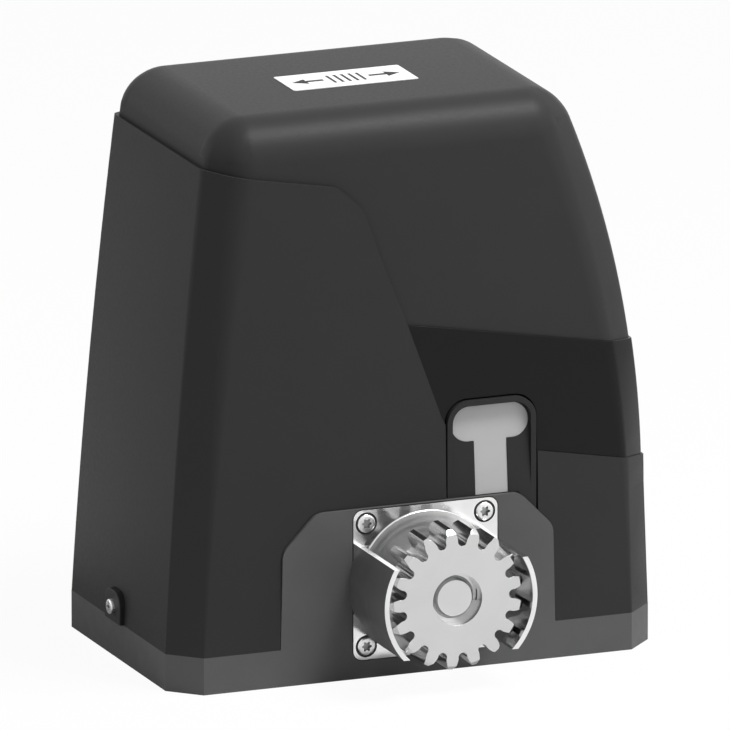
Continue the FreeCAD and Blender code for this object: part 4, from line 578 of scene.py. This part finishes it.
axis = Vector(shaft_axis)
plate_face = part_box("base_casting")[0].y
screws_low, screws_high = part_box("flange_screws")
screw_offset = (screws_high.x - screws_low.x) / 2 - HEAD_RADIUS
flange = skins["output_flange"].data
flange.materials.append(guard_paint_and_sink_shade)
paint_and_shade_faces = 0
for face in flange.polygons:
    away = face.center - axis
    away.y = 0
    outwards = face.normal.dot(away.normalized()) > STRAIGHT_OUT
    on_guard = face.center.y < plate_face - GUARD_ROOT and away.length > GUARD_OUTSIDE and outwards
    from_screw = math.hypot(abs(away.x) - screw_offset, abs(away.z) - screw_offset)
    # painted shade: counterbore faces behind the plate face, round each screw head, get the dark second
    # material
    sink_painted_shade = face.center.y > plate_face + SKIN_DEEP and from_screw < SINK_RADIUS + BESIDE
    if on_guard or sink_painted_shade:
        face.material_index = 1
        paint_and_shade_faces += 1
print("painted faces:", paint_and_shade_faces)

# %% [markdown]
# ## Screws with a drive
# Four pan-head screws hold the flange, with a six-lobed drive, and one smaller screw with
# a cross drive holds each side tab. The CAD screw has a plain round dimple. A drive is
# made on a disc of many corners: the top face is inset, its corners are moved in or out
# to draw the lobes, and the face is pushed down. A boolean cut would do it too, but it
# leaves ragged triangles around a small shape. The recess gets a second, darker material:
# painted shade, standing for the shade that falls deep in the drive.

# %% Screw maker
CORNERS = 48
RIM_ROUND = 0.35  # share of the head's height
RECESS_DRAFT, SHANK_CHAMFER = 0.02, 0.05  # shares of the radius
LOBE_DEPTH = 0.18  # share of the drive's radius
CROSS_CORE, CROSS_SHARPNESS = 0.34, 6


def driven_screw(radius, height, depth, drive, shank_radius, shank_length):
    """A pan-head screw with its head on +Z. `drive` gives the recess's outline by angle."""
    mesh = bmesh.new()
    bmesh.ops.create_cone(mesh, cap_ends=True, segments=CORNERS, radius1=radius, radius2=radius,
                          depth=height)
    bmesh.ops.translate(mesh, verts=mesh.verts, vec=(0, 0, height / 2))
    rim = [edge for edge in mesh.edges if min(vert.co.z for vert in edge.verts) > height / 2]
    bmesh.ops.bevel(mesh, geom=rim, offset=height * RIM_ROUND, affect="EDGES", segments=4,
                    profile=0.5, material=-1)
    top = max(mesh.faces, key=lambda face: face.calc_center_median().z)
    bmesh.ops.inset_region(mesh, faces=[top], thickness=radius * 0.2)
    for vert in top.verts:
        turn = math.atan2(vert.co.y, vert.co.x)
        reach = drive(turn)
        vert.co.x, vert.co.y = reach * math.cos(turn), reach * math.sin(turn)
    walls = bmesh.ops.inset_region(mesh, faces=[top], thickness=radius * RECESS_DRAFT, depth=-depth)
    # painted shade: the recess faces get the dark second material
    for face in [top, *walls["faces"]]:
        face.material_index = 1
    bottom = min(mesh.faces, key=lambda face: face.calc_center_median().z)
    bmesh.ops.inset_region(mesh, faces=[bottom], thickness=radius - shank_radius)
    bmesh.ops.inset_region(mesh, faces=[bottom], thickness=shank_radius * SHANK_CHAMFER,
                           depth=shank_length)
    softened(mesh)
    return mesh


def six_lobes(outer):
    return lambda turn: outer * (1 - LOBE_DEPTH + LOBE_DEPTH * math.cos(6 * turn))


def cross(outer):
    """A cross: long near the two axes, short between them."""
    return lambda turn: outer * max(CROSS_CORE, abs(math.cos(2 * turn)) ** CROSS_SHARPNESS)


print("screw maker: heads of", CORNERS, "corners")

# %% [markdown]
# ## Placing new pieces
# A new piece is made on +Z at the origin, where it is easy to think about, and then
# turned and moved in its mesh, so that its object stays at the origin as a CAD node's
# does. `finished` links it, gives it its materials and tells which body carries it.

# %% Place new pieces
def aimed(direction, at):
    """The move that turns +Z to `direction` and then goes to `at`."""
    turned = Vector(direction).to_track_quat("Z", "Y").to_matrix().to_4x4()
    return Matrix.Translation(Vector(at)) @ turned


def joined(name, meshes):
    """One mesh of several, which are freed."""
    data = bpy.data.meshes.new(name)
    whole = bmesh.new()
    for mesh in meshes:
        mesh.to_mesh(data)
        whole.from_mesh(data)
        mesh.free()
    whole.to_mesh(data)
    whole.free()
    return data


def finished(name, data, body, materials, instead_of=None):
    piece = bpy.data.objects.new(name, data)
    scene.collection.objects.link(piece)
    for material in materials:
        data.materials.append(material)
    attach(piece, body)
    if instead_of:
        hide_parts(instead_of)
    print(name, "faces", len(data.polygons))


# the second material is painted shade: the drive recess is coloured dark to stand for the shade inside it
screw_steel_and_recess_shade = [finishes["screw_steel"], machined("recess_painted_shade", grey(0.36), 0.40)]

# %% [markdown]
# ## Flange screws
# The four screws sit at the corners of the flange plate, in a square about the shaft's
# axis, so a loop over the sides and the levels places them. Their heads lie in the
# counterbores, and their shanks reach as far back as the CAD screws do.

# %% Flange screws
HEAD_HEIGHT = 0.003
heads = []
for side in (-1, 1):
    for level in (-1, 1):
        mesh = driven_screw(HEAD_RADIUS, HEAD_HEIGHT, 0.0022, six_lobes(0.0029), shank_radius=0.003,
                            shank_length=screws_high.y - screws_low.y - HEAD_HEIGHT)
        seat = (axis.x + side * screw_offset, screws_low.y + HEAD_HEIGHT, axis.z + level * screw_offset)
        bmesh.ops.transform(mesh, matrix=aimed((0, -1, 0), seat), verts=mesh.verts)
        heads.append(mesh)
finished("flange_screw_set", joined("flange_screw_set", heads), "root",
         screw_steel_and_recess_shade, instead_of="flange_screws")

# %% [markdown]
# ## Side tab screws
# One screw goes through each side tab, with its head outwards: one faces left and the
# other right. Each is made anew and aimed. A mirrored copy would be inside out until its
# normals were turned round.

# %% Side tab screws
TAB_HEAD_RADIUS, TAB_HEAD_HEIGHT = 0.004, 0.0021
tab_low, tab_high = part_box("cover_screws")
tab_y, tab_z = (tab_low.y + tab_high.y) / 2, (tab_low.z + tab_high.z) / 2
heads = []
for side, outside in ((-1, tab_low.x), (1, tab_high.x)):
    mesh = driven_screw(TAB_HEAD_RADIUS, TAB_HEAD_HEIGHT, 0.0012, cross(0.0026), shank_radius=0.002,
                        shank_length=0.016)
    seat = (outside - side * TAB_HEAD_HEIGHT, tab_y, tab_z)
    bmesh.ops.transform(mesh, matrix=aimed((side, 0, 0), seat), verts=mesh.verts)
    heads.append(mesh)
finished("side_tab_screw_set", joined("side_tab_screw_set", heads), "root",
         screw_steel_and_recess_shade, instead_of="cover_screws")

# %% [markdown]
# ## Boss on the flange
# The flange plate has a low round boss in front of the bearing. It only shows as an edge
# above the pinion. A boss is a body of revolution, so its profile is a few points in
# one plane, and Spin turns them about the shaft's axis. The full turn is merged at its
# seam, and the normals are recalculated, because a spin can come out inside out.

# %% Flange boss
BOSS_INNER, BOSS_OUTER, BOSS_HEIGHT, BOSS_CHAMFER, BOSS_SUNK = 0.0165, 0.0372, 0.0008, 0.0002, 0.0005
boss = bmesh.new()
profile = [(BOSS_INNER, BOSS_SUNK), (BOSS_INNER, -BOSS_HEIGHT), (BOSS_OUTER - BOSS_CHAMFER, -BOSS_HEIGHT),
           (BOSS_OUTER, BOSS_CHAMFER - BOSS_HEIGHT), (BOSS_OUTER, BOSS_SUNK)]
corners = [boss.verts.new((axis.x + radius, plate_face + y, axis.z)) for radius, y in profile]
edges = [boss.edges.new(pair) for pair in zip(corners, corners[1:] + corners[:1])]
bmesh.ops.spin(boss, geom=corners + edges, cent=axis, axis=(0, 1, 0), angle=2 * math.pi, steps=128,
               use_merge=True)
bmesh.ops.recalc_face_normals(boss, faces=boss.faces)
softened(boss)
finished("flange_boss", joined("flange_boss", [boss]), "root",
         [turned_face("boss_finish", grey(0.80), 0.34)])

# %% [markdown]
# ## Label plate
# A thin white plate lies on the top of the hood. It is a cube, scaled to the size of its
# CAD node, with its four upright edges bevelled to rounded corners. It leaves room for
# two layers of ink below the node's top, so that the sign stays inside the CAD size.

# %% Label plate
INK = 0.00003
LABEL_CORNER = 0.001
low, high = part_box("label_plate")
size = high - low - Vector((0, 0, 2 * INK))
middle = (low + high) / 2
label_top = low.z + size.z
plate = bmesh.new()
bmesh.ops.create_cube(plate, size=1.0)
bmesh.ops.scale(plate, vec=size, verts=plate.verts)
upright = [edge for edge in plate.edges if abs(edge.verts[0].co.z - edge.verts[1].co.z) > size.z / 2]
bmesh.ops.bevel(plate, geom=upright, offset=LABEL_CORNER, affect="EDGES", segments=5, profile=0.5,
                material=-1)
bmesh.ops.translate(plate, verts=plate.verts, vec=(middle.x, middle.y, low.z + size.z / 2))
finished("label_plate_film", joined("label_plate_film", [plate]), "root",
         [finishes["label_white"]], instead_of="label_plate")

# %% [markdown]
# ## Label sign
# The plate carries a plain sign for a sliding gate: a row of bars between two arrows that
# point away from each other. The sign is flat shapes, raised by a few hundredths of a
# millimetre as thick ink is, so that it never fights with the plate for the same surface.

# %% Label sign
GATE_BARS, BAR_PITCH, BAR_WIDTH, BAR_HEIGHT = 5, 0.0042, 0.0016, 0.015
STEM_MIDDLE, STEM_LENGTH, STEM_WIDTH = 0.0175, 0.0095, 0.0030
TIP_MIDDLE, TIP_RADIUS = 0.0250, 0.0055


def raised(mesh, x):
    """Flat faces, moved onto the label and thickened to a layer of ink."""
    bmesh.ops.translate(mesh, verts=mesh.verts, vec=(middle.x + x, middle.y, label_top))
    lifted = bmesh.ops.extrude_face_region(mesh, geom=mesh.faces[:])["geom"]
    bmesh.ops.translate(mesh, verts=[item for item in lifted if isinstance(item, bmesh.types.BMVert)],
                        vec=(0, 0, INK))
    bmesh.ops.recalc_face_normals(mesh, faces=mesh.faces)
    return mesh


def bar(x, width, height):
    mesh = bmesh.new()
    bmesh.ops.create_grid(mesh, x_segments=1, y_segments=1, size=0.5)
    bmesh.ops.scale(mesh, vec=(width, height, 1), verts=mesh.verts)
    return raised(mesh, x)


def arrow_head(x, radius, toward):
    mesh = bmesh.new()
    bmesh.ops.create_circle(mesh, cap_ends=True, segments=3, radius=radius)
    bmesh.ops.rotate(mesh, verts=mesh.verts, cent=(0, 0, 0),
                     matrix=Matrix.Rotation(-toward * math.pi / 2, 3, "Z"))
    return raised(mesh, x)


sign = [bar((index - (GATE_BARS - 1) / 2) * BAR_PITCH, BAR_WIDTH, BAR_HEIGHT) for index in range(GATE_BARS)]
for toward in (-1, 1):
    sign.append(bar(toward * STEM_MIDDLE, STEM_LENGTH, STEM_WIDTH))
    sign.append(arrow_head(toward * TIP_MIDDLE, TIP_RADIUS, toward))
finished("label_sign", joined("label_sign", sign), "root", [print_ink])
